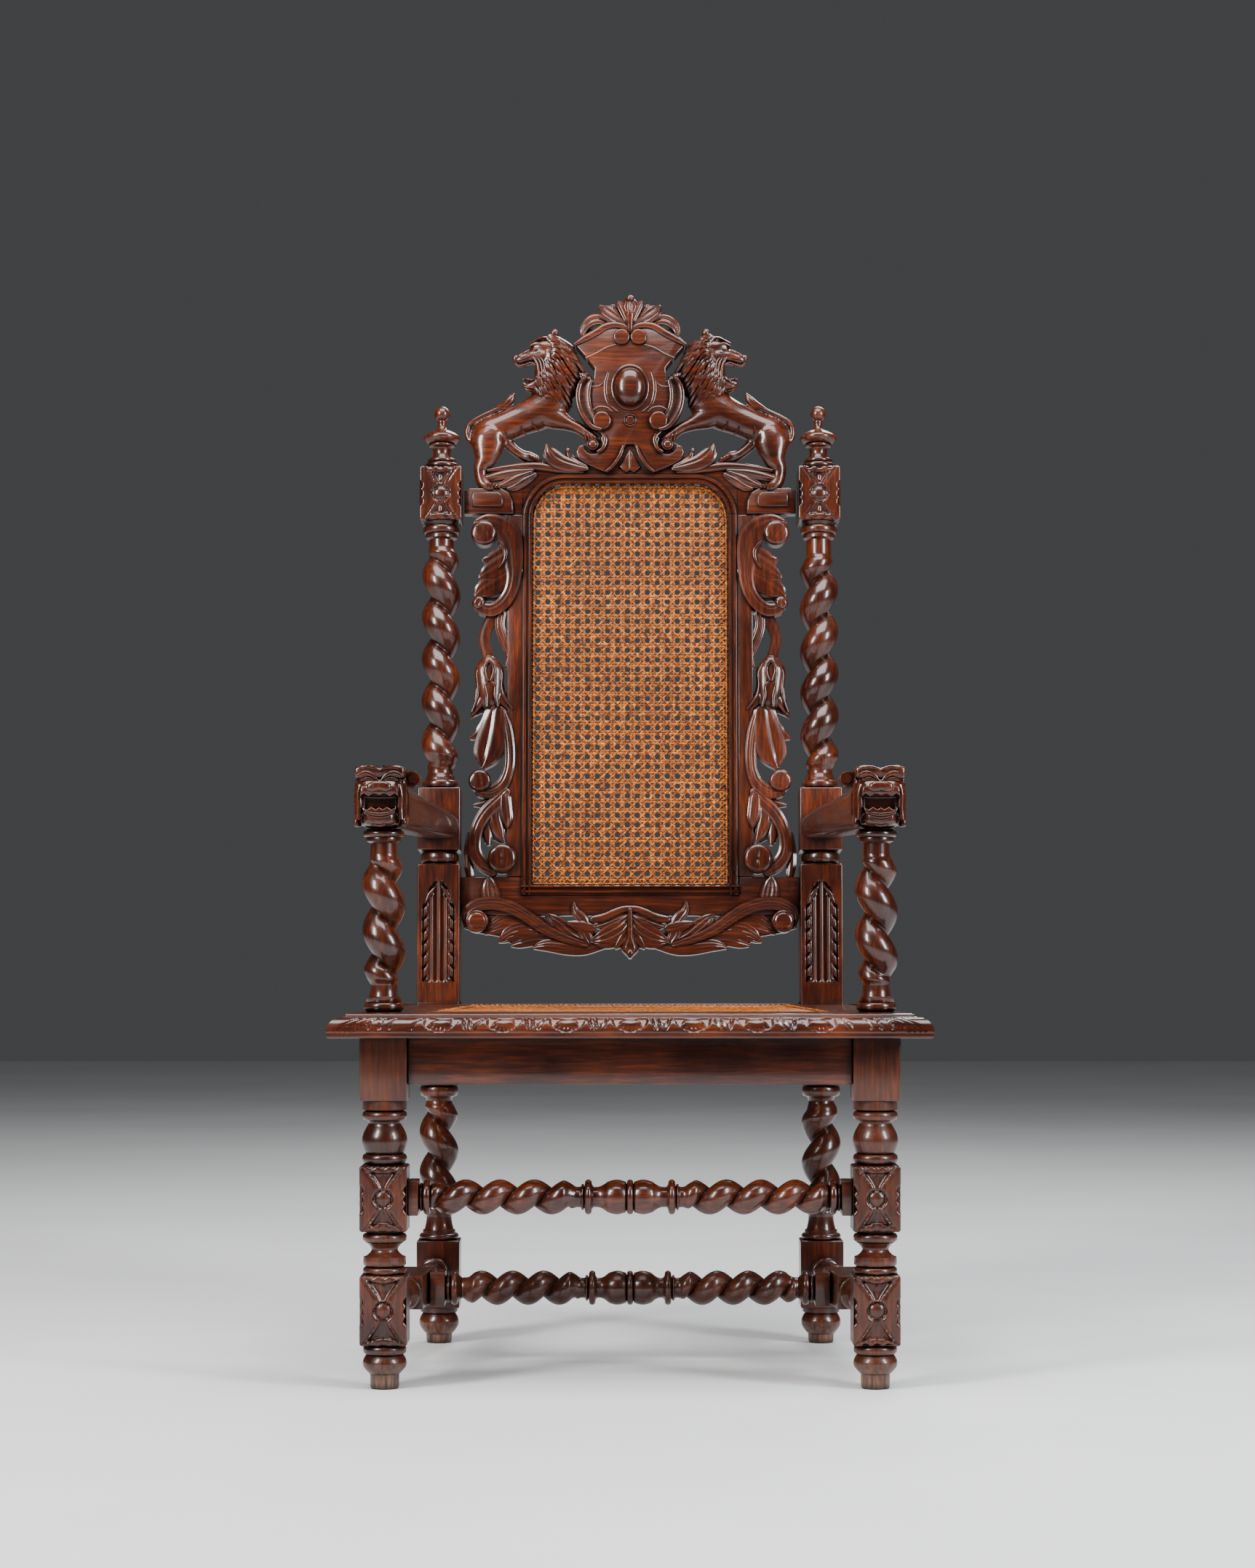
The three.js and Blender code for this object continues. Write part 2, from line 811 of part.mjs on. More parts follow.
// The right half of the arch and of the cartouche's plate.
function crestPlate() {
  const { joint } = panel;
  const arch = [
    [panel.openHalf, joint], [200, joint], [202, 664], [188, 668], [184, 685], [140, 691],
    [107, 700], [108, 722], [84, 706], [72, 703], [70, 712], [58, 727], [38, 730],
    [58, 748], [69, 780], [64, 808], [47, 806], [47, 822], [57, 835], [72, 852],
    [30, 876], [0, 876], [0, panel.openTop],
  ];
  return plate([...arch, ...openingCorner(0).slice(1).reverse()], -8, 10);
}

// A lion that faces outwards with open jaws, its forepaws on the scrollwork, right-hand side.
function lion() {
  const body = limb([[201, 727, 9, 0, 8], [187, 735, 19, 0, 14], [150, 752, 22, 0, 16], [112, 769, 26, 0, 18],
    [86, 768, 12, 0, 11]]);
  const nearHind = limb([[178, 741, 18, -6, 13], [186, 714, 16, -6, 12], [195, 689, 8.5, -6, 9],
    [190, 672, 8, -6, 9], [177, 667, 5, -6, 7]], 5);
  const farHind = limb([[168, 724, 10, 2, 8], [148, 709, 8, 2, 8], [116, 703, 5, 2, 6]], 5);
  const mane = limb([[90, 760, 12, -2, 10], [97, 785, 26, -2, 16], [90, 815, 33, -2, 18],
    [94, 840, 27, -2, 17], [99, 861, 9, -2, 9]]);
  const brow = limb([[98, 849, 14, -2, 14], [121, 851, 10.5, -2, 12], [129, 848, 6, -2, 8]], 5);
  const muzzle = limb([[110, 838, 13, -2, 14], [135, 837, 9, -2, 10], [149, 834.5, 6, -2, 7]], 5);
  const jaw = limb([[106, 811, 16, -2, 13], [126, 804, 8, -2, 10], [138, 802.5, 5, -2, 7]], 5);
  const ear = limb([[106, 857, 7, -4, 6], [97, 870, 4.5, -4, 4.5]], 4);
  const highFore = limb([[84, 799, 12, 0, 9], [66, 811, 8, 0, 9], [51, 806, 7, -2, 9]], 5);
  const lowFore = limb([[110, 759, 17, -4, 13], [80, 749, 10.5, -5, 11], [45, 730, 8, -5, 9]], 5);
  const tail = limb([[202, 725, 4, 0, 4], [211, 740, 4, 0, 4], [205, 754, 4, 0, 4], [170, 769, 4.5, 0, 4],
    [156, 781, 7, 0, 5], [150, 792, 1.5, 0, 2]], 4);
  return [body, nearHind, farHind, mane, brow, muzzle, jaw, ear, highFore, lowFore, tail];
}

function crestCarving() {
  const rise = -16;
  return [
    band([[38, 743, 5], [60, 757, 6], [65, 785, 6], [58, 808, 6]], rise, 6),
    knob(37, 752, 13, rise - 2, 6, 7),
    band([[70, 852, 3], [34, 871, 5], [14, 875, 5]], rise + 2, 6),
    knob(11, 862, 11, rise, 6, 7),
    knob(48, 721, 9, rise, 8, 6),
    band([[66, 706, 8], [44, 697, 8], [28, 684, 2]], rise, 6),
    leaf([[0, 700, 10], [24, 714, 4]], rise, 6),
    leaf([[112, 697, 7], [52, 688, 5]], rise + 2, 6),
    leaf([[116, 690, 5], [104, 700, 9], [104, 722, 2]], rise + 2, 6),
    leaf([[188, 676, 12], [126, 687, 6]], rise, 6),
    band([[202, 648, 17], [166, 648, 17], [154, 648, 8]], rise, 6),
    leaf([[4, 878, 6], [22, 890, 9], [40, 903, 2]], rise + 3, 2),
    leaf([[8, 876, 6], [40, 885, 7], [60, 877, 5], [62, 859, 2]], rise + 3, 2),
    leaf([[40, 870, 8], [60, 866, 3]], rise + 4, 2),
  ];
}

async function crest() {
  const carving = [await simpler(join(crestCarving()), 0.32), await simpler(join(lion()), 0.52)];
  const halfCrest = [crestPlate(), ...carving];
  const tenon = box(190, postX - half - gap, -6, 6, panel.joint, 661);
  const middle = [
    knob(0, 800, 27, -14, 6, 10, 33),
    knob(0, 800, 19, -24, 0, 10, 25),
    knob(0, 755, 8, -14, 6, 6),
    leaf([[0, 870, 6], [0, 888, 7], [0, 904, 11], [0, 917, 7]], -16, 4),
  ];
  const body = join([...halfCrest, tenon, ...[...halfCrest, tenon].map(mirrored), ...middle]);
  const reach = postX - half - gap;
  return keep(body, box(-reach, reach, -60, 60, panel.joint, 920));
}

// ---- Assembly -----------------------------------------------------------------------------

const throne = new THREE.Group();
throne.position.y = -chairMiddleY;

const back = new THREE.Group();
back.position.set(0, postY, rakeZ);
back.rotation.x = -rake;
throne.add(back);

function add(parent, name, geometry, look, x = 0, y = 0) {
  const mesh = new THREE.Mesh(geometry, new THREE.MeshStandardMaterial(look));
  mesh.name = name;
  mesh.position.set(x, y, 0);
  parent.add(mesh);
}

// A piece and its mirror image on the other side.
function addPair(parent, name, geometry, look) {
  add(parent, `${name}_right`, geometry, look);
  add(parent, `${name}_left`, mirrored(geometry), look);
}

const legGeometry = frontLeg();
add(throne, "front_leg_right", legGeometry, wornOak, legX);
add(throne, "front_leg_left", mirrored(legGeometry), wornOak, -legX);
add(
  throne,
  "rear_post_left",
  rearPost({ hand: -1, lowerRidge: 243, upperRidge: 308.8, twistTop: 590 }),
  oak,
  -postX,
  postY,
);
add(
  throne,
  "rear_post_right",
  mirrored(rearPost({ hand: -1, lowerRidge: 228, upperRidge: 290.4, twistTop: 580 })),
  oak,
  postX,
  postY,
);
add(throne, "arm_support_left", armSupport(552.7), oak, -legX - 1);
add(throne, "arm_support_right", armSupport(545), oak, legX + 1);
addPair(throne, "arm", await arm(), oak);
add(throne, "seat_frame_front", seatFrameFront(), oak);
addPair(throne, "seat_frame", seatFrameSide(), oak);
add(throne, "seat_frame_rear", seatFrameRear(), oak);
add(throne, "seat_cane", seatCane(), caneColour);
const frontReach = legX - half - gap;
add(throne, "apron_front", box(-frontReach, frontReach, -20, 4, boardLow, boardTop), oak);
addPair(throne, "apron", apronSide(), oak);
const rearReach = postX - half - gap;
add(throne, "apron_rear", box(-rearReach, rearReach, postY - 12, postY + 12, boardLow, boardTop), oak);
add(throne, "front_stretcher", frontStretcher(), oak);
add(throne, "cross_stretcher", crossStretcher(), wornOak);
addPair(throne, "side_stretcher", sideStretcher(), wornOak);
addPair(back, "back_stile", await backStile(), oak);
add(back, "back_bottom_rail", await backBottomRail(), oak);
add(back, "back_cane", backCane(), caneColour);
add(back, "crest", await crest(), oak);

export default throne;
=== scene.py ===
import random
from math import atan2, copysign, cos, dist, exp, hypot, pi, radians, sin, sqrt

import bmesh
import bpy
from mathutils import Matrix, Vector


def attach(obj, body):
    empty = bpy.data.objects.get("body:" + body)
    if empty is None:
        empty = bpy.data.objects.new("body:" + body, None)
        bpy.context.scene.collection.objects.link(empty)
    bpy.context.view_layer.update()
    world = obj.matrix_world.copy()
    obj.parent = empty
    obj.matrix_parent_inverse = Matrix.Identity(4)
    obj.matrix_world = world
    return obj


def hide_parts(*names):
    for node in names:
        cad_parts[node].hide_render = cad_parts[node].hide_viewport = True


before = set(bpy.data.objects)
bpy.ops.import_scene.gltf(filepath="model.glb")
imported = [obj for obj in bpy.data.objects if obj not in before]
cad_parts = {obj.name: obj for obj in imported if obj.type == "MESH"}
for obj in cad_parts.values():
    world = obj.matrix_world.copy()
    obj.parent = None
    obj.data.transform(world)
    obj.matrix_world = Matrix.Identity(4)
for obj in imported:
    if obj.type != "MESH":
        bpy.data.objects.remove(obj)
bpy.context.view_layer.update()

# A carved oak throne with barley-twist posts, lion-headed arms, a pierced crest and woven cane.
# Shapes are made in millimetres on the chair's own axes: Y = 0 through the front legs, Z up from the floor.

chair = {
    "middleY": 218.66,  # the frame's origin, behind the front legs
    "legX": 281, "postX": 243, "postY": 420, "half": 27,
    "gap": 0.4,  # left between two pieces of wood that meet
    "seatUnder": 403, "seatTop": 431, "armUnder": 641,
    "rake": radians(5), "rakeZ": 430,
}
chairSpace = Matrix.Scale(0.001, 4) @ Matrix.Translation((0, -chair["middleY"], 0))
leaning = Matrix.Translation((0, 0, chair["rakeZ"])) @ Matrix.Rotation(-chair["rake"], 4, "X")
backSpace = chairSpace @ Matrix.Translation((0, chair["postY"], 0)) @ leaning
mirrorX = Matrix.Scale(-1, 4, (1, 0, 0))


def smooth(low, high, value):
    share = min(max((value - low) / (high - low), 0.0), 1.0)
    return share * share * (3 - 2 * share)


def mix(a, b, share):
    return a + (b - a) * share


def shaderOf(name):
    material = bpy.data.materials.new(name)
    material.use_nodes = True
    tree = material.node_tree
    tree.nodes.clear()
    shader = tree.nodes.new("ShaderNodeBsdfPrincipled")
    output = tree.nodes.new("ShaderNodeOutputMaterial")
    tree.links.new(shader.outputs["BSDF"], output.inputs["Surface"])
    return material, tree, shader


def ramp(tree, factor, stops):
    node = tree.nodes.new("ShaderNodeValToRGB")
    elements = node.color_ramp.elements
    while len(elements) < len(stops):
        elements.new(0.5)
    for element, (place, colour) in zip(elements, stops):
        element.position = place
        element.color = (*colour, 1)
    tree.links.new(factor, node.inputs["Fac"])
    return node.outputs["Color"]


def remap(tree, value, fromLow, fromHigh, toLow, toHigh):
    node = tree.nodes.new("ShaderNodeMapRange")
    for name, number in (("From Min", fromLow), ("From Max", fromHigh), ("To Min", toLow), ("To Max", toHigh)):
        node.inputs[name].default_value = number
    tree.links.new(value, node.inputs["Value"])
    return node.outputs["Result"]


def mixColour(tree, factor, first, second, blend="MIX"):
    node = tree.nodes.new("ShaderNodeMix")
    node.data_type = "RGBA"
    node.blend_type = blend
    for number, value in ((0, factor), (6, first), (7, second)):
        socket = node.inputs[number]
        if isinstance(value, bpy.types.NodeSocket):
            tree.links.new(value, socket)
        else:
            socket.default_value = value if number == 0 else (*value, 1)
    return node.outputs[2]


def noise(tree, coords, scale, stretch=(1, 1, 1), detail=4, roughness=0.55, distortion=0.0):
    mapping = tree.nodes.new("ShaderNodeMapping")
    mapping.inputs["Scale"].default_value = stretch
    tree.links.new(coords, mapping.inputs["Vector"])
    node = tree.nodes.new("ShaderNodeTexNoise")
    for name, number in (("Scale", scale), ("Detail", detail), ("Roughness", roughness), ("Distortion", distortion)):
        node.inputs[name].default_value = number
    tree.links.new(mapping.outputs["Vector"], node.inputs["Vector"])
    return node.outputs["Fac"]


def bump(tree, shader, height, strength, distance):
    node = tree.nodes.new("ShaderNodeBump")
    node.inputs["Strength"].default_value = strength
    node.inputs["Distance"].default_value = distance
    tree.links.new(height, node.inputs["Height"])
    tree.links.new(node.outputs["Normal"], shader.inputs["Normal"])


oak = {
    "tones": [(0.26, (0.009, 0.0017, 0.0008)), (0.5, (0.033, 0.0050, 0.0009)), (0.76, (0.090, 0.0150, 0.0014))],
    "patches": [(0.36, (0.6, 0.5, 0.5)), (0.66, (1.7, 1.7, 1.3))],
    "wornTone": (0.05, 0.017, 0.0075),
    "bareTone": (0.17, 0.10, 0.062), "bareTo": 0.034,  # rubbed feet, up to this height in metres
    # painted shade: the tone laid into hollows and creases, and how far round a point the hollow is measured
    "hollowShadeTone": (0.0016, 0.0007, 0.0005), "hollowShadeReach": 0.010,
    "grainScale": 32, "poreScale": 90, "cloudScale": 9, "acrossGrain": 8.0, "alongGrain": 0.6,
    "specular": 0.3, "varnish": 0.5, "varnishRoughness": 0.09,
}


def recess(tree, reach, samples):
    # how open a place is, from a closed hollow (0) to an open face (1)
    node = tree.nodes.new("ShaderNodeAmbientOcclusion")
    node.samples = samples
    node.inputs["Distance"].default_value = reach
    return node.outputs["AO"]


def mathNode(tree, operation, first, second):
    node = tree.nodes.new("ShaderNodeMath")
    node.operation = operation
    tree.links.new(first, node.inputs[0])
    tree.links.new(second, node.inputs[1])
    return node.outputs[0]


def oakMaterial(name, along, worn=0.0):
    # dark varnished oak whose grain runs along one axis (0, 1 or 2), bare where feet and edges are rubbed, and
    # darkened by painted shade in its hollows and creases
    material, tree, shader = shaderOf(name)
    coords = tree.nodes.new("ShaderNodeTexCoord").outputs["Object"]
    stretch = [oak["acrossGrain"]] * 3
    stretch[along] = oak["alongGrain"]
    grain = noise(tree, coords, oak["grainScale"], stretch, 7, 0.62, 0.3)
    pores = noise(tree, coords, oak["poreScale"], stretch, 2, 0.5)
    cloud = noise(tree, coords, oak["cloudScale"])
    base = mixColour(tree, 1.0, ramp(tree, grain, oak["tones"]), ramp(tree, cloud, oak["patches"]), "MULTIPLY")
    if worn:
        bare = ramp(tree, cloud, [(0.45, (0, 0, 0)), (0.68, (worn, worn, worn))])
        base = mixColour(tree, bare, base, oak["wornTone"])
    split = tree.nodes.new("ShaderNodeSeparateXYZ")
    tree.links.new(coords, split.inputs["Vector"])
    nearFloor = remap(tree, split.outputs["Z"], 0.0, oak["bareTo"], 1.0, 0.0)
    rubbed = mathNode(tree, "MULTIPLY", nearFloor, remap(tree, grain, 0.42, 0.6, 0.1, 0.85))
    base = mixColour(tree, rubbed, base, oak["bareTone"])
    # painted shade: ambient occlusion darkens the colour and thins the varnish in hollows and creases
    unshaded = remap(tree, recess(tree, oak["hollowShadeReach"], 6), 0.35, 0.95, 0.0, 1.0)
    tree.links.new(mixColour(tree, unshaded, oak["hollowShadeTone"], base), shader.inputs["Base Color"])
    tree.links.new(remap(tree, cloud, 0.3, 0.7, 0.26 + 0.1 * worn, 0.36 + 0.2 * worn), shader.inputs["Roughness"])
    shader.inputs["Specular IOR Level"].default_value = oak["specular"]
    tree.links.new(remap(tree, unshaded, 0.0, 1.0, 0.02, oak["varnish"] - 0.3 * worn), shader.inputs["Coat Weight"])
    shader.inputs["Coat Roughness"].default_value = oak["varnishRoughness"]
    bump(tree, shader, mathNode(tree, "ADD", grain, pores), 0.22, 0.0004)
    return material


caneTones = {
    "strands": [(0.36, (0.05, 0.011, 0.001)), (0.48, (0.21, 0.05, 0.001)), (0.60, (0.40, 0.115, 0.004)),
                (0.72, (0.62, 0.28, 0.07))],
    "patches": [(0.35, (0.82, 0.78, 0.72)), (0.65, (1.12, 1.08, 1.0))],
    # painted shade: the tone laid into the weave's hollows, and how far round a point the hollow is measured
    "hollowShadeTone": (0.02, 0.005, 0.001), "hollowShadeReach": 0.004,
    "fibreScale": 240, "patchScale": 14, "specular": 0.3,
}


def caneMaterial(name):
    # Split cane: honey and orange strands, darker in patches, with fine fibres, and painted shade in the hollows of
    # the weave.
    material, tree, shader = shaderOf(name)
    coords = tree.nodes.new("ShaderNodeTexCoord").outputs["Object"]
    fine = noise(tree, coords, caneTones["fibreScale"], (1, 1, 1), 3, 0.6)
    broad = noise(tree, coords, caneTones["patchScale"], (1, 1, 1), 3, 0.5)
    strands, patches = ramp(tree, fine, caneTones["strands"]), ramp(tree, broad, caneTones["patches"])
    base = mixColour(tree, 1.0, strands, patches, "MULTIPLY")
    # painted shade: ambient occlusion darkens the colour in the weave's hollows
    unshaded = remap(tree, recess(tree, caneTones["hollowShadeReach"], 4), 0.3, 0.9, 0.0, 1.0)
    tree.links.new(mixColour(tree, unshaded, caneTones["hollowShadeTone"], base), shader.inputs["Base Color"])
    tree.links.new(remap(tree, fine, 0.3, 0.7, 0.35, 0.5), shader.inputs["Roughness"])
    shader.inputs["Specular IOR Level"].default_value = caneTones["specular"]
    bump(tree, shader, fine, 0.25, 0.0003)
    return material


oakUp = oakMaterial("oakUpright", 2)
oakAcross = oakMaterial("oakAcross", 0)
oakDeep = oakMaterial("oakFrontToBack", 1)
oakWornUp = oakMaterial("oakWornUpright", 2, 0.4)
oakWornAcross = oakMaterial("oakWornAcross", 0, 0.3)
oakWornDeep = oakMaterial("oakWornFrontToBack", 1, 0.3)
caneWoven = caneMaterial("caneWoven")
print("materials ready")


def addPart(bm, part, place=None):
    # Moves a part's mesh into a larger one.
    if place is not None:
        part.transform(place)
    holder = bpy.data.meshes.new("holder")
    part.to_mesh(holder)
    part.free()
    bm.from_mesh(holder)
    bpy.data.meshes.remove(holder)


def allOf(part):
    return part.verts[:] + part.edges[:] + part.faces[:]


def closeEnds(part):
    openEdges = [edge for edge in part.edges if edge.is_boundary]
    if openEdges:
        bmesh.ops.holes_fill(part, edges=openEdges, sides=0)


def loft(bm, rings):
    # A skin over rings of equal length: one grid with its seam welded and its ends filled.
    part = bmesh.new()
    width = len(rings[0])
    bmesh.ops.create_grid(part, x_segments=width, y_segments=len(rings) - 1, size=1)
    part.verts.ensure_lookup_table()
    for i, vert in enumerate(part.verts):
        row, column = divmod(i, width + 1)
        vert.co = rings[row][column % width]
    seam = {part.verts[row * (width + 1) + width]: part.verts[row * (width + 1)] for row in range(len(rings))}
    bmesh.ops.weld_verts(part, targetmap=seam)
    closeEnds(part)
    addPart(bm, part)


def turned(bm, profile, place=None, count=44):
    # A lathe-turned length: a profile of (radius, height) spun round the axis.
    part = bmesh.new()
    rows = [(0, profile[0][1]), *profile, (0, profile[-1][1])]
    verts = [part.verts.new((radius, 0, z)) for radius, z in rows]
    edges = [part.edges.new(pair) for pair in zip(verts, verts[1:])]
    bmesh.ops.spin(part, geom=verts + edges, cent=(0, 0, 0), axis=(0, 0, 1), dvec=(0, 0, 0), angle=2 * pi,
                   steps=count, use_merge=True)
    bmesh.ops.remove_doubles(part, verts=part.verts, dist=0.001)
    addPart(bm, part, place)


def twisted(bm, rope, low, high, ridgeAt, place, count=48):
    # A barley twist: a circle screwed up the axis, shaped into one thick strand with a neck at each end.
    part = bmesh.new()
    ring = bmesh.ops.create_circle(part, segments=count, radius=1)["verts"]
    steps = round((high - low) / rope.get("step", 1.45))
    turns = rope["hand"] * (high - low) / rope["pitch"]
    bmesh.ops.spin(part, geom=ring + part.edges[:], cent=(0, 0, 0), axis=(0, 0, 1), dvec=(0, 0, (high - low) / steps),
                   angle=2 * pi * turns, steps=steps)
    for vert in part.verts:
        z = low + vert.co.z
        around = atan2(vert.co.y, vert.co.x)
        fromEnd = min(z - low, high - z)
        swell = (0.5 + 0.5 * cos(around - rope["hand"] * 2 * pi * (z - ridgeAt) / rope["pitch"])) ** 0.43
        strand = mix(rope["valley"], rope["ridge"], swell)
        grown = smooth(0, rope["pitch"] * 0.42, fromEnd)
        collar = 1.6 * exp(-((fromEnd - rope["pitch"] * 0.16) / 4) ** 2)
        radius = mix(rope["neck"], strand, grown) + (1 - grown) * collar
        vert.co = (radius * cos(around), radius * sin(around), z)
    closeEnds(part)
    addPart(bm, part, place)


def bead(low, high, inner, outer, steps=8):
    # Rows of a rounded bead.
    angles = [pi * i / steps for i in range(steps + 1)]
    return [(inner + (outer - inner) * sin(a) ** 0.7, mix(low, high, 0.5 - 0.5 * cos(a))) for a in angles]


def curve(low, high, start, end, bulge, steps=7):
    # Rows of a cove or swelling between two radii; bulge is how far its middle stands off the chord.
    shares = [i / steps for i in range(steps + 1)]
    return [(mix(start, end, t) + bulge * sin(pi * t), mix(low, high, t)) for t in shares]


def plainBlock(bm, low, high, half, place=None, ease=1.6):
    # A square length with eased edges.
    part = bmesh.new()
    bmesh.ops.create_cube(part, size=1)
    middle = Matrix.Translation((0, 0, (low + high) / 2))
    part.transform(middle @ Matrix.Diagonal((2 * half, 2 * half, high - low, 1)))
    bmesh.ops.bevel(part, geom=part.edges[:], offset=ease, segments=3, profile=0.5, affect="EDGES", material=-1)
    addPart(bm, part, place)


def carvedBlock(bm, low, high, half, depthAt, carved, place=None, ease=1.8, cells=(36, 50)):
    # A square length with carved faces: depthAt(face, across, height) is how far a face is cut back there.
    part = bmesh.new()
    for face in range(4):
        side = bmesh.new()
        bmesh.ops.create_grid(side, x_segments=cells[0] if face in carved else 12, y_segments=cells[1], size=1)
        for vert in side.verts:
            if face not in carved:  # a plain face needs its vertices near the edges only
                vert.co.x = copysign(abs(vert.co.x) ** 0.2, vert.co.x)
            s, z = vert.co.x * half, mix(low, high, 0.5 + vert.co.y / 2)
            lean = max(0.0, abs(s) - (half - ease)) / ease * pi / 4
            across = s if lean == 0 else copysign(half - ease + ease * sin(lean), s)
            out = half - ease + ease * cos(lean)
            rim = ease * (1 - sqrt(max(0, 1 - (1 - min(1, min(z - low, high - z) / ease)) ** 2)))
            inward = rim + depthAt(face, s, z)
            vert.co = (across * (1 - rim / half), inward - out, z)
        side.transform(Matrix.Rotation(face * pi / 2, 4, "Z"))
        addPart(part, side)
    bmesh.ops.remove_doubles(part, verts=part.verts, dist=0.02)
    closeEnds(part)
    addPart(bm, part, place)


def finishPiece(name, bm, material, nodes, space=chairSpace, sharp=38):
    # Makes a finished piece of a mesh in millimetres; it stands for the named nodes.
    bmesh.ops.recalc_face_normals(bm, faces=bm.faces)
    bm.transform(space)
    mesh = bpy.data.meshes.new(name)
    bm.to_mesh(mesh)
    bm.free()
    mesh.shade_smooth()
    mesh.set_sharp_from_angle(angle=radians(sharp))
    mesh.materials.append(material)
    piece = bpy.data.objects.new(name, mesh)
    bpy.context.scene.collection.objects.link(piece)
    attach(piece, "root")
    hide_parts(*nodes)
    return piece


def bossCarving(low, high, faces):
    # a ringed boss between two waisted hollows, and small nicks along the block's edges
    middle, reach = (low + high) / 2, (high - low) / 2

    def depthAt(face, s, z):
        if face not in faces:
            return 0.0
        t = z - middle
        rise = abs(t)
        wide = 3.0 + 12.5 * max(0.0, (rise - 8) / 22) ** 1.3
        end = reach - 7.5 + 0.012 * s * s
        inside = min((wide - abs(s)) * 0.9, end - rise, (rise - 10) * 0.9)
        depth = 4.0 * smooth(0, 2.4, inside) * mix(0.7, 1, smooth(8, 24, rise))
        depth -= 1.3 * smooth(1.8, 0.2, abs(s)) * smooth(2, 5, inside) * smooth(13, 20, rise)
        trim = abs(abs(s) - wide - 3.2) if rise > 12 else 9
        depth = max(depth, 1.3 * smooth(1.3, 0.4, trim) * smooth(12, 17, rise) * smooth(end + 2, end - 1, rise))
        ring = hypot(s, t)
        depth = max(depth, 3.2 * smooth(2.4, 0.9, abs(ring - 9.4)), 0.0)
        if ring < 8.1:
            depth = 0.2 + 1.9 * (ring / 8.1) ** 2.4
        for place in (-11.5, -1, 10):
            depth = max(depth, 3.0 * smooth(5.4, 3.2, hypot(27.6 - abs(s), (t - place) * 0.9)))
        for place in (-13, 0, 13):
            depth = max(depth, 2.0 * smooth(4.2, 2.6, hypot((s - place) * 0.8, reach - rise)))
        return depth

    return depthAt


def flutedPanel(face, s, v):
    # an arched panel sunk in the post's lower leaning block: flutes between two notched borders
    if face != 0:
        return 0.0
    inside = min(20.5 - abs(s), 156 - 0.085 * s * s - v, v - 27)
    if inside < 0:
        return 0.0
    depth = 3.0 * smooth(0, 1.2, inside)
    leafEdge = abs(s) - mix(13.2, 2, smooth(124, 151, v))
    if leafEdge > 0:
        nick = 0.5 + 0.5 * cos(2 * pi * (v + abs(s) * 0.9) / 15.5)
        depth -= 2.4 * smooth(0, 2.0, leafEdge) * smooth(0.5, 3, inside) * (1 - nick ** 8)
        depth += 2.0 * nick ** 8 * smooth(0, 3, leafEdge)
    else:
        flute = abs(sin(pi * (s + 4.4) / 8.8))
        depth += 0.9 * (1 - flute ** 0.5) - 2.9 * flute ** 1.1
    return max(depth, 0.0)


def frontLeg(bm, place, faces):
    half = chair["half"]
    foot = [(15.6, 0), (16.6, 2.5), (16.8, 17)] + curve(17.5, 38.5, 18, 21.5, 5.6, 9)
    foot += bead(39.5, 50, 20.5, 25) + [(23, 51.4)]
    middle = [(23.5, 130.6)] + bead(131, 139.5, 20.5, 25) + [(22.5, 140.5), (24.4, 142), (24.7, 146), (24.2, 151)]
    middle += curve(152, 166, 21, 19.5, -5.2) + [(21.5, 167.4)] + bead(168, 178, 20.5, 25.4) + [(22.5, 181.4)]
    upper = [(22.5, 255.6)] + bead(257.5, 269, 20.5, 25.7) + curve(270, 303, 22.6, 18.5, 5.2, 12)
    upper += [(18.7, 305)] + bead(307, 318, 20.5, 25.7) + [(25.4, 319.5), (25.5, 330.4)]
    for profile in (foot, middle, upper):
        turned(bm, profile, place)
    for low, high in ((51, 131), (181, 256)):
        carvedBlock(bm, low, high, half, bossCarving(low, high, faces), faces, place)
    plainBlock(bm, 330, chair["seatUnder"] - chair["gap"], half, place)


for side, name, faces in ((-1, "left", (0, 3)), (1, "right", (0, 1))):
    bm = bmesh.new()
    frontLeg(bm, Matrix.Translation((side * chair["legX"], 0, 0)), faces)
    finishPiece(f"frontLeg_{name}", bm, oakWornUp, [f"front_leg_{name}"], sharp=48)
print("front legs ready")


postRope = {"hand": -1, "ridge": 24.8, "valley": 11.0, "neck": 16}
postTwist = {"lowerPitch": 51.5, "upperPitch": 54.35, "leftRidges": (243, 308.8), "rightRidges": (228, 290.4),
             "leftTop": 590, "rightTop": 580}


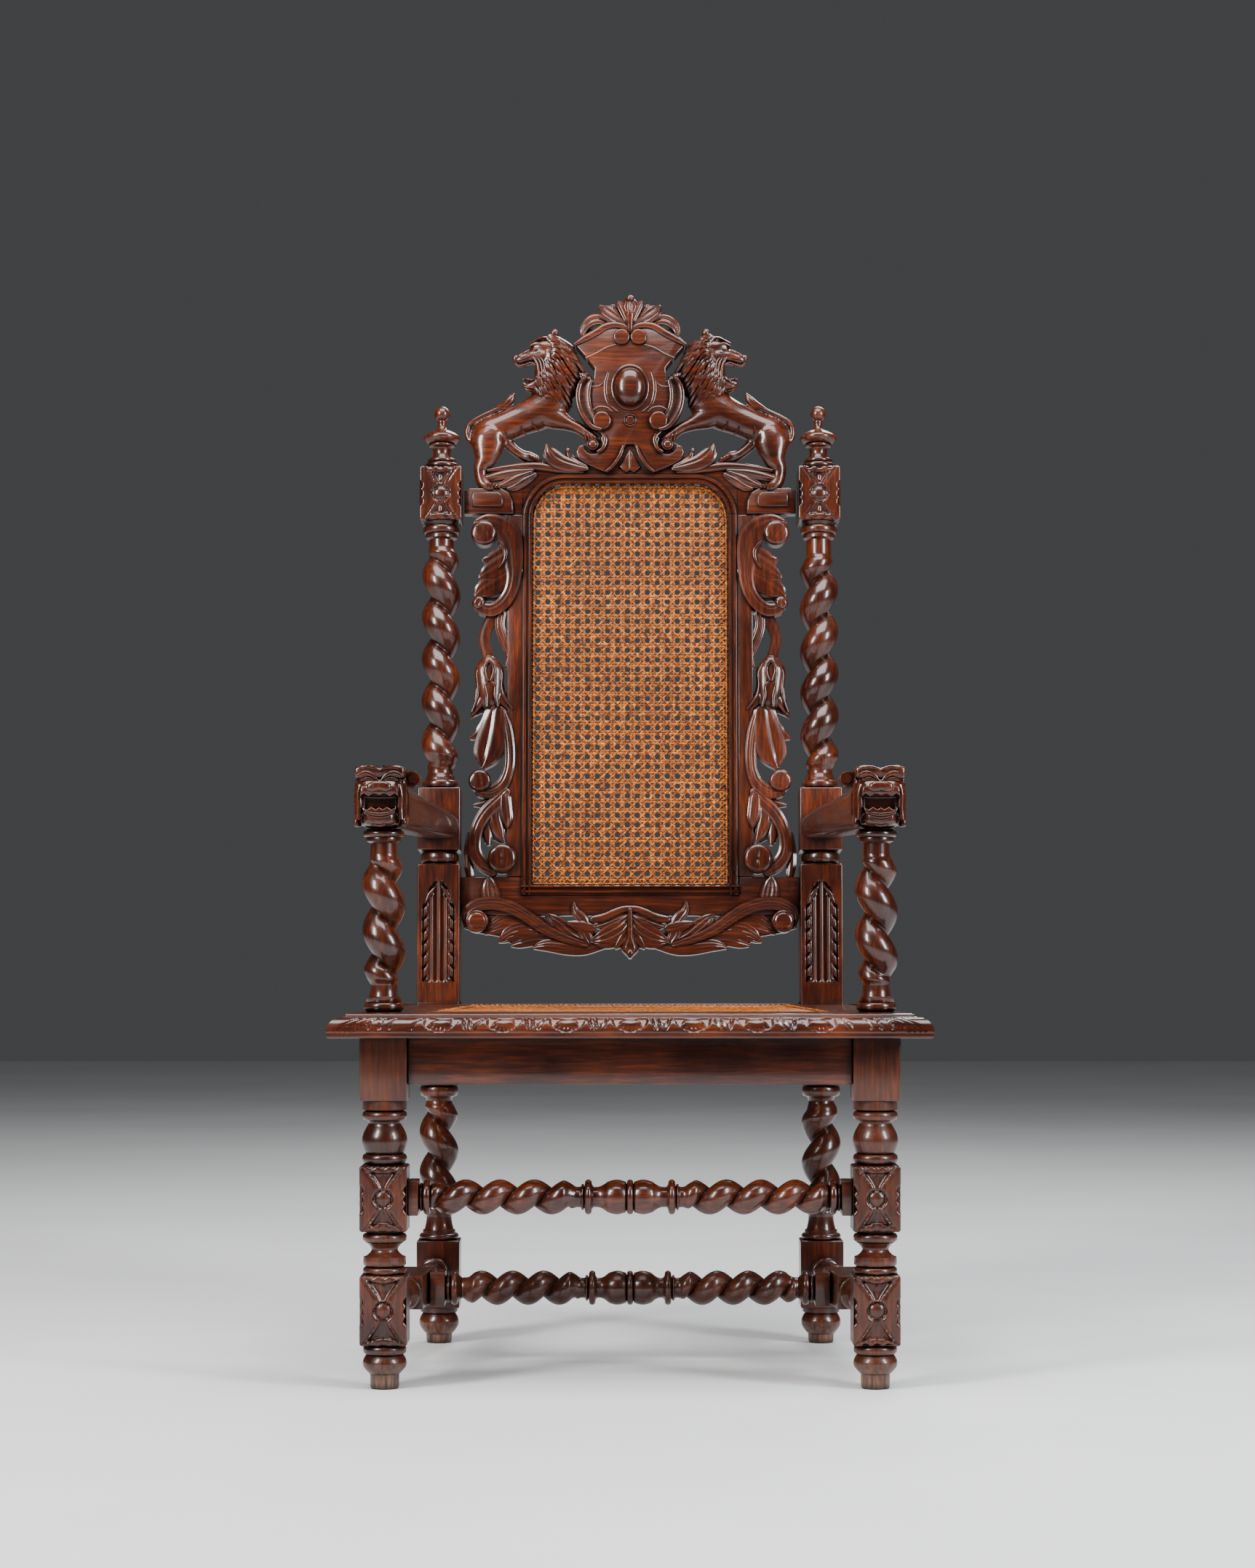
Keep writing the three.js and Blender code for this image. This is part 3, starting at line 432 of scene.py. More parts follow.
def rearPost(bm, stand, ridges, twistTop):
    half = chair["half"]
    lean = stand @ leaning
    foot = [(15.2, 0), (16.2, 3), (16.6, 12)] + curve(12.5, 38, 18, 20.5, 6, 9) + [(23.6, 39.5), (24, 46.4)]
    lowerRing = [(22, 130.6)] + bead(131, 139, 21, 25) + [(21, 140), (20.5, 143.5)]
    lowerRing += curve(144, 160.5, 18.5, 16, -0.6)
    collar = [(16, 307.5), (17.5, 312)] + bead(313, 327.5, 20, 24.2) + [(22, 328.6)]
    shoulder = [(20, 177.2)] + bead(178.4, 194.6, 19.5, 24.6) + [(20, 195.6)]
    ringAbove = [(21, 274.6)] + bead(275.6, 286, 19.5, 23.4) + [(18.8, 288), (18.4, 292)]
    ringAbove += curve(293, 298.5, 17, 16, -0.3, 3)
    ringBelow = [(16, twistTop - 0.5), (16.2, 598), (20.4, 600.5), (20.6, 605)] + bead(606, 616.5, 20, 23.8)
    ringBelow += [(20.5, 618), (22, 621.4)]
    finial = [(21, 690.6)] + bead(692, 698.5, 19.6, 21.9, 5) + bead(699, 705, 15.5, 18.6, 5)
    finial += curve(705.5, 719, 13, 12.5, -1.6) + bead(720, 724.5, 15, 17.6, 5)
    finial += curve(725, 742, 18.6, 11.5, 8.6, 10) + curve(742.5, 754, 8, 6, -1.8)
    for i in range(13):
        angle = pi * (0.18 + 0.81 * i / 12)
        finial.append((max(10.4 * sin(angle), 0.5), 764 - 10.4 * cos(angle)))
    for profile in (foot, lowerRing, collar):
        turned(bm, profile, stand)
    for profile in (shoulder, ringAbove, ringBelow, finial):
        turned(bm, profile, lean)
    twisted(bm, {**postRope, "pitch": postTwist["lowerPitch"]}, 160, 308, ridges[0], stand)
    twisted(bm, {**postRope, "pitch": postTwist["upperPitch"]}, 298, twistTop, ridges[1], lean)
    plainBlock(bm, 46, 131, half, stand)
    plainBlock(bm, 328, chair["rakeZ"] + 4, half, stand)
    carvedBlock(bm, -3, 177.6, half, flutedPanel, (0,), lean, cells=(64, 110))
    plainBlock(bm, 195, 275, half, lean)
    carvedBlock(bm, 621, 691, half, bossCarving(621, 691, (0, 3)), (0, 3), lean)


for side, name in ((-1, "left"), (1, "right")):
    bm = bmesh.new()
    stand = Matrix.Translation((side * chair["postX"], chair["postY"], 0))
    rearPost(bm, stand if side < 0 else stand @ mirrorX, postTwist[f"{name}Ridges"], postTwist[f"{name}Top"])
    finishPiece(f"rearPost_{name}", bm, oakUp, [f"rear_post_{name}"], sharp=56)
print("rear posts ready")


supportRope = {"hand": -1, "ridge": 24.8, "valley": 11.0, "neck": 15.5, "pitch": 53.5}
for side, name, ridgeAt in ((-1, "left", 552.7), (1, "right", 545)):
    place = Matrix.Translation((side * (chair["legX"] + 1), 0, 0))
    top = chair["seatTop"]
    base = [(20.5, top + chair["gap"])] + bead(top + 1.5, 442, 19.5, 23.2) + [(20.2, 443), (20.4, 448)]
    base += curve(449, 461.5, 17, 15.6, -0.6)
    head = [(15.4, 611), (15.1, 624), (20, 626.5), (20.4, 630)] + bead(631, 639, 20, 23.8)
    head.append((21, chair["armUnder"] - chair["gap"]))
    bm = bmesh.new()
    turned(bm, base, place)
    turned(bm, head, place)
    twisted(bm, supportRope, 461, 612, ridgeAt, place)
    finishPiece(f"armSupport_{name}", bm, oakUp, [f"arm_support_{name}"], sharp=56)
print("arm supports ready")


def twistedBar(bm, place, bar):
    # A twisted bar along X with square ends and two bulbs that meet at a thin ring in the middle.
    lie = place @ Matrix.Rotation(pi / 2, 4, "Y")
    ridge, fin, inner = bar["ridge"], bar["fin"], bar["reach"] - bar["square"]
    neck = ridge * 0.58
    bulb = [(ridge * 0.74, 4.1)] + curve(4.6, 26, ridge * 0.86, ridge * 0.86, ridge * 0.13, 8)
    bulb += curve(26.5, fin - 7, ridge * 0.84, neck, -ridge * 0.1)
    bulb += [(neck * 1.12, fin - 6.5)] + bead(fin - 5.5, fin + 3, neck * 1.2, ridge, 6)
    bulb += bead(fin + 3.5, fin + 7, neck * 1.05, neck * 1.3, 4) + [(neck, fin + 8.5), (neck, fin + 12.5)]
    middle = [(r, -z) for r, z in bulb[::-1]] + bead(-3.7, 3.7, ridge * 0.8, ridge * 0.99, 6) + bulb
    turned(bm, middle, lie, 36)
    rope = {"hand": -1, "pitch": bar["pitch"], "ridge": ridge, "valley": ridge * 0.43, "neck": neck, "step": 1.1}
    for way in (-1, 1):
        low, high = sorted((way * (fin + 12), way * bar["ropeEnd"]))
        twisted(bm, rope, low, high, way * bar["pitch"] * 0.3, lie)
        rows = [(neck, bar["ropeEnd"] - 0.5)]
        for radius, start, end in bar["rings"]:
            rows += bead(inner - start, inner - end, radius * 0.82, radius, 6)
        rows += [(ridge * 0.75, inner + 0.5)]
        turned(bm, [(r, way * z) for r, z in rows], lie, 36)
        near, far = sorted((way * inner, way * bar["reach"]))
        plainBlock(bm, near, far, bar["tall"] / 2, lie, 1.2)


innerFace = chair["half"] + chair["gap"]  # how far the parts between the posts stay from the posts' middles
frontBar = {"reach": chair["legX"] - innerFace, "square": 12, "tall": 40, "rings": [(20, 13, 5), (16.5, 4.5, 1)],
            "ropeEnd": 232, "pitch": 39.3, "fin": 49, "ridge": 20.2, "height": 219}
crossBar = {"reach": 241, "square": 18, "tall": 41, "rings": [(20.6, 15, 7), (17.5, 6, 1)],
            "ropeEnd": 203, "pitch": 37.5, "fin": 47, "ridge": 20.9, "height": 92}
bm = bmesh.new()
twistedBar(bm, Matrix.Translation((0, 0, frontBar["height"])), frontBar)
finishPiece("frontStretcher", bm, oakAcross, ["front_stretcher"], sharp=58)
bm = bmesh.new()
twistedBar(bm, Matrix.Translation((0, chair["postY"] / 2, crossBar["height"])), crossBar)
finishPiece("crossStretcher", bm, oakWornAcross, ["cross_stretcher"], sharp=58)

sideBar = {"turn": atan2(chair["legX"] - chair["postX"], chair["postY"]), "x": (chair["legX"] + chair["postX"]) / 2,
           "height": 92, "block": 56, "half": 20, "length": 365.4}
for side, name in ((-1, "left"), (1, "right")):
    place = Matrix.Translation((side * sideBar["x"], chair["postY"] / 2, sideBar["height"]))
    place = place @ Matrix.Rotation(side * sideBar["turn"], 4, "Z") @ Matrix.Rotation(-pi / 2, 4, "X")
    end = sideBar["length"] / 2 / cos(sideBar["turn"]) - 0.6
    rows = [(16, 55.6)] + bead(57, 63, 16, 20, 6) + [(13.5, 64.5)] + curve(65, 90, 13, 12.5, 6.8, 9)
    rows += curve(91, 160, 12, 13, 4.6, 12) + bead(162, 170, 14, 19.6, 6)
    rows += bead(170.5, 178, 14, 18.6, 6) + [(17, end)]
    bm = bmesh.new()
    plainBlock(bm, -sideBar["block"], sideBar["block"], sideBar["half"], place)
    for way in (-1, 1):
        turned(bm, [(r, way * z) for r, z in rows], place, 36)
    finishPiece(f"sideStretcher_{name}", bm, oakWornDeep, [f"side_stretcher_{name}"])
print("stretchers ready")


seat = {"frontHalf": 342, "rearHalf": 287, "frontY": -72, "rearY": 447, "openFront": 235, "openRear": 200,
        "openFrontY": 15, "openRearY": 393, "edgeShare": 0.245, "lunettePitch": 72,
        "caneUnder": 426.2, "earFront": 392.6, "earInner": 270.5,
        "apronLow": 349, "apronTop": 402.6, "boardEase": 1.3}
# the moulded edge from its inner fillet to the lip: (share of the edge's width, height)
edgeTop = [(1.0, 431), (0.93, 430.8), (0.84, 430), (0.78, 428.9), (0.76, 427.6), (0.71, 427.3), (0.68, 427)]
edgeLip = [(0.012, 409), (0.045, 408.2), (0.02, 407.2), (0.0, 406), (0.012, 404.2), (0.06, 403.2), (0.12, 403)]


def ovolo(t):
    # The carved round of the edge, from its top (0) to the lip (1).
    angle = t * pi / 2
    return 0.66 * (1 - sin(angle)) ** 0.9, mix(409.5, 426.6, cos(angle) ** 0.8)


def edgeCarving(along, up):
    # Depth of the edge's carving: half-round hollows with a raised lens, and slanting gouge cuts between.
    pitch = seat["lunettePitch"]
    place = (along + pitch / 2) % pitch - pitch / 2
    depth = 0.0
    arc = hypot(place / 21.5, max(0, 15.5 - up) / 14.5)
    if up < 16.5:
        depth = 2.6 * smooth(1.0, 0.86, arc) * smooth(0, 1.2, 16.5 - up)
        depth -= 2.4 * smooth(1.15, 0.6, hypot(place / 12.5, (up - 12.2) / 4))
        rays = 0.5 + 0.5 * cos(14 * atan2(15.5 - up, place))
        depth -= 1.1 * smooth(0.25, 0.6, arc) * smooth(0.95, 0.8, arc) * rays ** 2
    depth = max(depth, 0.0)
    between = abs(place) - 22.5
    if between > 0:
        for offset, tilt in ((-8.5, 0.5), (-1.5, 0.5), (6.5, -0.55)):
            cut = abs(place - copysign(pitch / 2, place) - offset + (up - 9) * tilt)
            depth = max(depth, 2.4 * smooth(2.4, 0.4, cut) * smooth(2, 4.5, up) * smooth(0, 2.5, 17 - up))
    return depth


def cornerLeaf(fromCorner, up):
    # Long slanting gouges and upright nicks beside a corner.
    depth = 0.0
    for k in range(4):
        line = abs((fromCorner - 6 - 5.5 * k) - up * (1.15 + 0.25 * k))
        depth = max(depth, 2.2 * smooth(2.0, 0.5, line) * smooth(1, 4, up) * smooth(0, 2, 17 - up))
    for k in range(3):
        nick = abs(fromCorner - 46 - 12 * k)
        depth = max(depth, 2.4 * smooth(3.6 - 0.12 * up, 1.0, nick) * smooth(0, 3, up - 3) * smooth(0, 2, 17 - up))
    return depth


def seatRing(outer, inner, depthAt):
    # One section of the frame between a point on its outer edge and one on the cane opening.
    share = seat["edgeShare"]

    def point(part, z, depth=0.0):
        inwards = part * share
        out = Vector((outer[0] - inner[0], outer[1] - inner[1], 0)).normalized()
        spot = Vector((mix(outer[0], inner[0], inwards), mix(outer[1], inner[1], inwards), z))
        return spot - (out * 0.62 + Vector((0, 0, 0.78))) * depth

    top = chair["seatTop"]
    ring = [Vector((*inner, chair["seatUnder"])), Vector((*inner, top - 0.6)), point(1 / share * 0.985, top)]
    ring.append(point(1.2, top))
    ring += [point(*row) for row in edgeTop]
    steps = 16
    for i in range(steps + 1):
        part, z = ovolo(i / steps)
        ring.append(point(part, z, depthAt(z - 409.5)))
    return ring + [point(*row) for row in edgeLip]


def seatMember(bm, ends, steps, depthAt):
    # A frame member between two ends, each an outer corner and an opening corner in plan.
    (outerA, innerA), (outerB, innerB) = ends
    length = dist(outerA, outerB)
    rings = []
    for i in range(steps + 1):
        t = i / steps
        outer = (mix(outerA[0], outerB[0], t), mix(outerA[1], outerB[1], t))
        inner = (mix(innerA[0], innerB[0], t), mix(innerA[1], innerB[1], t))
        rings.append(seatRing(outer, inner, lambda up, t=t: depthAt(t * length, up)))
    loft(bm, rings)


def frontCarving(along, up):
    middle = abs(along - seat["frontHalf"])
    if middle < 252:
        return edgeCarving(along - seat["frontHalf"], up)
    return cornerLeaf(seat["frontHalf"] - middle, up)


def sideCarvingDepth(along, up):
    return edgeCarving(along - 232, up) if 52 < along < 412 else (cornerLeaf(along, up) if along < 52 else 0.0)


bm = bmesh.new()
cornerRight = ((seat["frontHalf"], seat["frontY"]), (seat["openFront"], seat["openFrontY"]))
cornerLeft = tuple((-x, y) for x, y in cornerRight)
seatMember(bm, (cornerLeft, cornerRight), 480, frontCarving)
finishPiece("seatFrameFront", bm, oakAcross, ["seat_frame_front"])

for side, name in ((-1, "left"), (1, "right")):
    bm = bmesh.new()
    main = (((seat["frontHalf"], seat["frontY"] + 0.5), (seat["openFront"], seat["openFrontY"] + 0.5)),
            ((seat["rearHalf"] + 6.4, seat["earFront"]), (seat["openRear"], seat["earFront"])))
    ear = (((seat["rearHalf"] + 6.4, seat["earFront"] - 0.1), (seat["earInner"], seat["earFront"] - 0.1)),
           ((seat["rearHalf"], seat["rearY"]), (seat["earInner"], seat["rearY"])))
    seatMember(bm, main, 330, sideCarvingDepth)
    seatMember(bm, ear, 8, lambda along, up: 0.0)
    if side < 0:
        bm.transform(mirrorX)
    finishPiece(f"seatFrame_{name}", bm, oakDeep, [f"seat_frame_{name}"])


def boardPiece(name, low, high, material, node, crack=None):
    # A plain board with eased edges, and where asked a short crack up from its lower edge.
    bm = bmesh.new()
    bmesh.ops.create_cube(bm, size=1)
    size = Vector(high) - Vector(low)
    bm.transform(Matrix.Translation((Vector(high) + Vector(low)) / 2) @ Matrix.Diagonal((*size, 1)))
    bmesh.ops.bevel(bm, geom=bm.edges[:], offset=seat["boardEase"], segments=3, profile=0.5, affect="EDGES",
                    material=-1)
    if crack:
        cuts = [((crack + offset, 0, 0), (1, 0, 0.03)) for offset in (-0.35, 0.35)]
        for place, direction in cuts + [((0, 0, low[2] + 15), (0, 0, 1))]:
            bmesh.ops.bisect_plane(bm, geom=allOf(bm), plane_co=place, plane_no=direction)
        gap = [v for v in bm.verts if abs(v.co.x - crack) < 1.2 and v.co.y < low[1] + 3 and v.co.z < low[2] + 14]
        bmesh.ops.translate(bm, verts=gap, vec=(0, 2.5, 0))
    return finishPiece(name, bm, material, [node])


reach = chair["postX"] - innerFace
boardPiece("seatFrameRear", (-reach, seat["openRearY"] + 0.2, chair["seatUnder"]),
           (reach, seat["rearY"], chair["seatTop"]), oakAcross, "seat_frame_rear")
boardPiece("apronRear", (-reach, 408, seat["apronLow"]), (reach, 432, seat["apronTop"]), oakAcross, "apron_rear")
frontReach = chair["legX"] - innerFace
boardPiece("apronFront", (-frontReach, -20, seat["apronLow"]), (frontReach, 4, seat["apronTop"]), oakAcross,
           "apron_front", crack=10)
for side, name in ((-1, "left"), (1, "right")):
    bm = bmesh.new()
    bmesh.ops.create_cube(bm, size=1)
    for vert in bm.verts:
        x, y, z = vert.co * 2
        vert.co = (side * ((chair["legX"] if y < 0 else chair["postX"]) + 12 * x),
                   innerFace if y < 0 else seat["earFront"], seat["apronLow"] if z < 0 else seat["apronTop"])
    bmesh.ops.bevel(bm, geom=bm.edges[:], offset=seat["boardEase"], segments=3, profile=0.5, affect="EDGES",
                    material=-1)
    finishPiece(f"apron_{name}", bm, oakDeep, [f"apron_{name}"])
print("seat frame ready")


cane = {"apart": 1.68, "wide": 3.0, "thick": 0.8,  # the pairs: half the way between two strands, and a strand's size
        "slantWide": 1.9, "slantThick": 0.7, "wave": 0.34, "acrossLift": 0.5, "slantLift": 1.1, "bindingPitch": 6.6}


def strand(bm, path, wide, thick):
    # A split cane strand: flat below and domed above, along points that carry their own lift.
    rings = []
    for i, point in enumerate(path):
        before, after = path[max(i - 1, 0)], path[min(i + 1, len(path) - 1)]
        along = (after - before).normalized()
        across = Vector((-along.y, along.x, 0)).normalized()
        dome = Vector((0, 0, thick))
        rings.append([point - across * wide / 2, point + across * wide / 2, point + across * wide * 0.22 + dome,
                      point - across * wide * 0.22 + dome])
    loft(bm, rings)


def weave(inside, low, high, pitch, start):
    # The seven-step pattern in the XY plane: pairs up, pairs across and single strands both ways aslant.
    bm = bmesh.new()
    random.seed(11)

    def edgeOf(a, b):
        for _ in range(9):  # halve the way to where the strand goes into the frame
            middle = a.lerp(b, 0.5)
            a, b = (middle, b) if inside(middle.x, middle.y) else (a, middle)
        return a

    def run(pointAt, length, step, wide, thick):
        points = [pointAt(i * step) for i in range(int(length / step) + 2)]
        path = []
        for here, then in zip(points, points[1:]):
            if inside(here.x, here.y):
                path.append(here)
                if not inside(then.x, then.y):
                    path.append(edgeOf(here, then))
                    if len(path) > 2:
                        strand(bm, path, wide, thick)
                    path = []
            elif inside(then.x, then.y):
                path = [edgeOf(then, here)]

    for column in range(round((low[0] - start[0]) / pitch[0]) - 1, round((high[0] - start[0]) / pitch[0]) + 2):
        for k, shift in enumerate((-cane["apart"], cane["apart"])):
            x = start[0] + column * pitch[0] + shift
            sway = random.uniform(-0.3, 0.3)
            run(lambda t, x=x, k=k, sway=sway: Vector((
                x + sway * sin(t / 40), low[1] + t,
                cane["wave"] * sin(pi * (low[1] + t - start[1]) / pitch[1] + pi * k))),
                high[1] - low[1], pitch[1] / 2, cane["wide"], cane["thick"])
    for row in range(round((low[1] - start[1]) / pitch[1]) - 1, round((high[1] - start[1]) / pitch[1]) + 2):
        for k, shift in enumerate((-cane["apart"], cane["apart"])):
            y = start[1] + row * pitch[1] + shift
            sway = random.uniform(-0.3, 0.3)
            run(lambda t, y=y, k=k, sway=sway: Vector((
                low[0] + t, y + sway * sin(t / 30),
                cane["acrossLift"] + cane["wave"] * sin(pi * (low[0] + t - start[0]) / pitch[0] + pi * k))),
                high[0] - low[0], pitch[0] / 2, cane["wide"], cane["thick"])
    across, tall = high[0] - low[0], high[1] - low[1]
    diagonal = Vector((pitch[0], pitch[1], 0)).normalized()
    step = hypot(*pitch) / 2
    for way in (-1, 1):
        for k in range(-int(across / pitch[0]) - 3, int(tall / pitch[1]) + 4):
            x0 = low[0] if way > 0 else high[0]
            y0 = start[1] + (k + way * (x0 - start[0]) / pitch[0] + 0.5) * pitch[1]
            run(lambda t, x0=x0, y0=y0, way=way: Vector((
                x0 + way * t * diagonal.x, y0 + t * diagonal.y,
                cane["slantLift"] + 0.4 * (way > 0) + 0.3 * sin(pi * t / step))),
                hypot(across, tall) * 1.6, step, cane["slantWide"], cane["slantThick"])
    return bm


def binding(bm, path, pitch):
    # The edge of the cane: a thick strand along the groove with small loops wrapped round it.
    for a, b in zip(path, path[1:]):
        length = (b - a).length
        heading = (b - a) / length
        across = Vector((-heading.y, heading.x, 0))
        strand(bm, [a.lerp(b, i / 4) for i in range(5)], 3.0, 1.3)
        for i in range(max(1, int(length / pitch))):
            spot = a + heading * (i + 0.5) * length / max(1, int(length / pitch))
            lean = heading * 1.6
            strand(bm, [spot - across * 2.1 - lean, spot + Vector((0, 0, 1.7)), spot + across * 2.1 + lean], 2.2, 0.9)


caneBack = {"half": 126.2, "low": 151.3, "top": 670.6, "cornerWide": 42, "cornerHigh": 46, "pitch": (12.8, 12.56)}


def insideBackCane(x, v):
    c = caneBack
    if abs(x) > c["half"] or v < c["low"] or v > c["top"]:
        return False
    over = (abs(x) - (c["half"] - c["cornerWide"])) / c["cornerWide"]
    up = (v - (c["top"] - c["cornerHigh"])) / c["cornerHigh"]
    return over < 0 or up < 0 or over * over + up * up < 1


bm = weave(insideBackCane, (-127, 151), (127, 671), caneBack["pitch"], (3.1, 160.1))
inset = 2.2
corner = [Vector((caneBack["half"] - caneBack["cornerWide"] + (caneBack["cornerWide"] - inset) * cos(a),
                  caneBack["top"] - caneBack["cornerHigh"] + (caneBack["cornerHigh"] - inset) * sin(a), 1.9))
          for a in [pi / 2 * i / 6 for i in range(7)]]
rim = [Vector((caneBack["half"] - inset, caneBack["low"] + inset, 1.9))] + corner
rim += [Vector((-p.x, p.y, p.z)) for p in rim[::-1]]
binding(bm, rim + rim[:1], cane["bindingPitch"])
for vert in bm.verts:
    x, v, lift = vert.co
    vert.co = (x, -1.0 - lift, v)
finishPiece("backCane", bm, caneWoven, ["back_cane"], backSpace, 60)


def insideSeatCane(x, y):
    t = (y - seat["openFrontY"] - 0.6) / (seat["openRearY"] - seat["openFrontY"] - 1)
    return 0 < t < 1 and abs(x) < mix(seat["openFront"], seat["openRear"], t) - 0.7


bm = weave(insideSeatCane, (-236, 15), (236, 393), (12.8, 12.6), (3.1, 22.0))
rim = [Vector((x, y, 1.9)) for x, y in ((232.6, 17.8), (197.8, 390.4), (-197.8, 390.4), (-232.6, 17.8))]
binding(bm, rim + rim[:1], cane["bindingPitch"])
for vert in bm.verts:
    vert.co.z += seat["caneUnder"]
finishPiece("seatCane", bm, caneWoven, ["seat_cane"], chairSpace, 60)
print("cane ready")


def throughRows(rows, spacing=2.4):
    # A smooth curve through rows of numbers, the first two of them a place in the plane.
    rows = [tuple(row) for row in rows]
    before = tuple(2 * a - b for a, b in zip(rows[0], rows[1]))
    after = tuple(2 * a - b for a, b in zip(rows[-1], rows[-2]))
    ends = [before, *rows, after]
    smoothed = []
    for k in range(1, len(ends) - 2):
        p0, p1, p2, p3 = ends[k - 1:k + 3]
        steps = max(2, round(dist(p1[:2], p2[:2]) / spacing))
        for i in range(steps):
            t = i / steps
            smoothed.append(tuple(
                0.5 * (2 * b + (c - a) * t + (2 * a - 5 * b + 4 * c - d) * t * t + (3 * b - a - 3 * c + d) * t ** 3)
                for a, b, c, d in zip(p0, p1, p2, p3)))
    return smoothed + [rows[-1]]


def stroke(bm, rows, front=-14, back=6, veins=0, veinDepth=0.8, drop=3.5, samples=17, hollow=0.0):
    # A carved band or leaf on the back: rows of (x, v, half width[, lift]) with grooves along it.
    rows = [row if len(row) == 4 else (*row, 0.0) for row in rows]
    path = throughRows(rows)
    rounded = []
    for end, other in ((path[0], path[1]), (path[-1], path[-2])):
        cap = []
        if end[2] > 2.2:
            ux, uv = end[0] - other[0], end[1] - other[1]
            size = hypot(ux, uv) or 1
            for angle in (0.42, 0.8, 1.12, 1.36):
                reach = end[2] * sin(angle) * 0.8
                lift = end[3] - drop * 0.5 * sin(angle) ** 2
                cap.append((end[0] + ux / size * reach, end[1] + uv / size * reach, end[2] * cos(angle), lift))
        rounded.append(cap)
    path = rounded[0][::-1] + path + rounded[1]
    rings = []
    for i, (x, v, wide, lift) in enumerate(path):
        before, after = path[max(i - 1, 0)], path[min(i + 1, len(path) - 1)]
        tx, tv = after[0] - before[0], after[1] - before[1]
        size = hypot(tx, tv) or 1
        nx, nv = -tv / size, tx / size
        wide = max(wide, 0.35)
        ring = [Vector((x - nx * wide, back, v - nv * wide))]
        for k in range(samples):
            s = -1 + 2 * k / (samples - 1)
            depth = front - lift + drop * abs(s) ** 2.6 * min(1, wide / 5)
            if veins:
                depth += veinDepth * min(1, wide / 6) * (0.5 + 0.5 * cos(2 * pi * veins * (s + 1) / 2)) * (1 - s ** 4)
            depth += hollow * (1 - s * s)
            ring.append(Vector((x + nx * wide * s, depth, v + nv * wide * s)))
        ring.append(Vector((x + nx * wide, back, v + nv * wide)))
        rings.append(ring)
    loft(bm, rings)


def leaves(bm, table):
    # Leaves and bands, each (front, veins, depth of the veins, drop to the sides, rows).
    for front, veins, veinDepth, drop, rows in table:
        stroke(bm, rows, front, veins=veins, veinDepth=veinDepth, drop=drop)


def ridges(bm, table):
    # Thin raised lines, each (front, drop to the sides, rows).
    for front, drop, rows in table:
        stroke(bm, rows, front, drop=drop, samples=7)


def ball(bm, x, v, rx, rv, front, back=6, ribs=0, ribTurn=0.0, ribDepth=1.0, deep=None, groove=0.0, segments=36,
        flat=1.0):
    # a domed knob or flat disc that faces forward, with straight ribs across it or a groove round it
    part = bmesh.new()
    bmesh.ops.create_uvsphere(part, u_segments=segments, v_segments=44 if groove else 20, radius=1)
    deep = deep or min(rx, rv) * 0.8
    for vert in part.verts:
        share, up = hypot(vert.co.x, vert.co.y), vert.co.z
        depth = back
        if up > -0.01:
            depth = front + deep * (1 - max(0.0, 1 - share ** (2 * flat)) ** 0.5)
            across = vert.co.x * cos(ribTurn) + vert.co.y * sin(ribTurn)
            depth += ribDepth * (0.5 + 0.5 * cos(pi * ribs * across)) * (1 - share ** 4) if ribs else 0
            depth += groove * exp(-((share - 0.74) / 0.09) ** 2)
        elif up > -0.2:
            vert.co.x, vert.co.y = vert.co.x / share, vert.co.y / share
        vert.co = (x + rx * vert.co.x, depth, v + rv * vert.co.y)
    addPart(bm, part)


def board(bm, corners, front, back, ease=1.3):
    # A flat board sawn to an outline, its front edge eased.
    part = bmesh.new()
    face = part.faces.new([part.verts.new((x, back, v)) for x, v in corners])
    grown = bmesh.ops.extrude_face_region(part, geom=[face])["geom"]
    top = [item for item in grown if isinstance(item, bmesh.types.BMVert)]
    bmesh.ops.translate(part, verts=top, vec=(0, front - back, 0))
    rim = [edge for edge in part.edges if all(vert in top for vert in edge.verts)]
    bmesh.ops.bevel(part, geom=rim, offset=ease, segments=2, profile=0.5, affect="EDGES", material=-1)
    addPart(bm, part)


mouldSection = ((0, -3), (0, -12.6), (1, -13.9), (2.6, -13.9), (3.5, -11.4), (5.6, -11.4), (6.6, -13.6), (9.4, -13.6),
                (10.3, -10.6), (12.1, -10.4), (12.1, 8), (0.4, 8))


def mould(bm, path):
    # The double moulding round the cane, along a path of (x, v, outward x, outward v).
    loft(bm, [[Vector((x + nx * off, depth, v + nv * off)) for off, depth in mouldSection] for x, v, nx, nv in path])


def bothSides(bm, build):
    # Builds something on the right of the back and its mirror image on the left.
    part = bmesh.new()
    build(part)
    twin = part.copy()
    bmesh.ops.reverse_faces(twin, faces=twin.faces)
    addPart(bm, twin, mirrorX)
    addPart(bm, part)


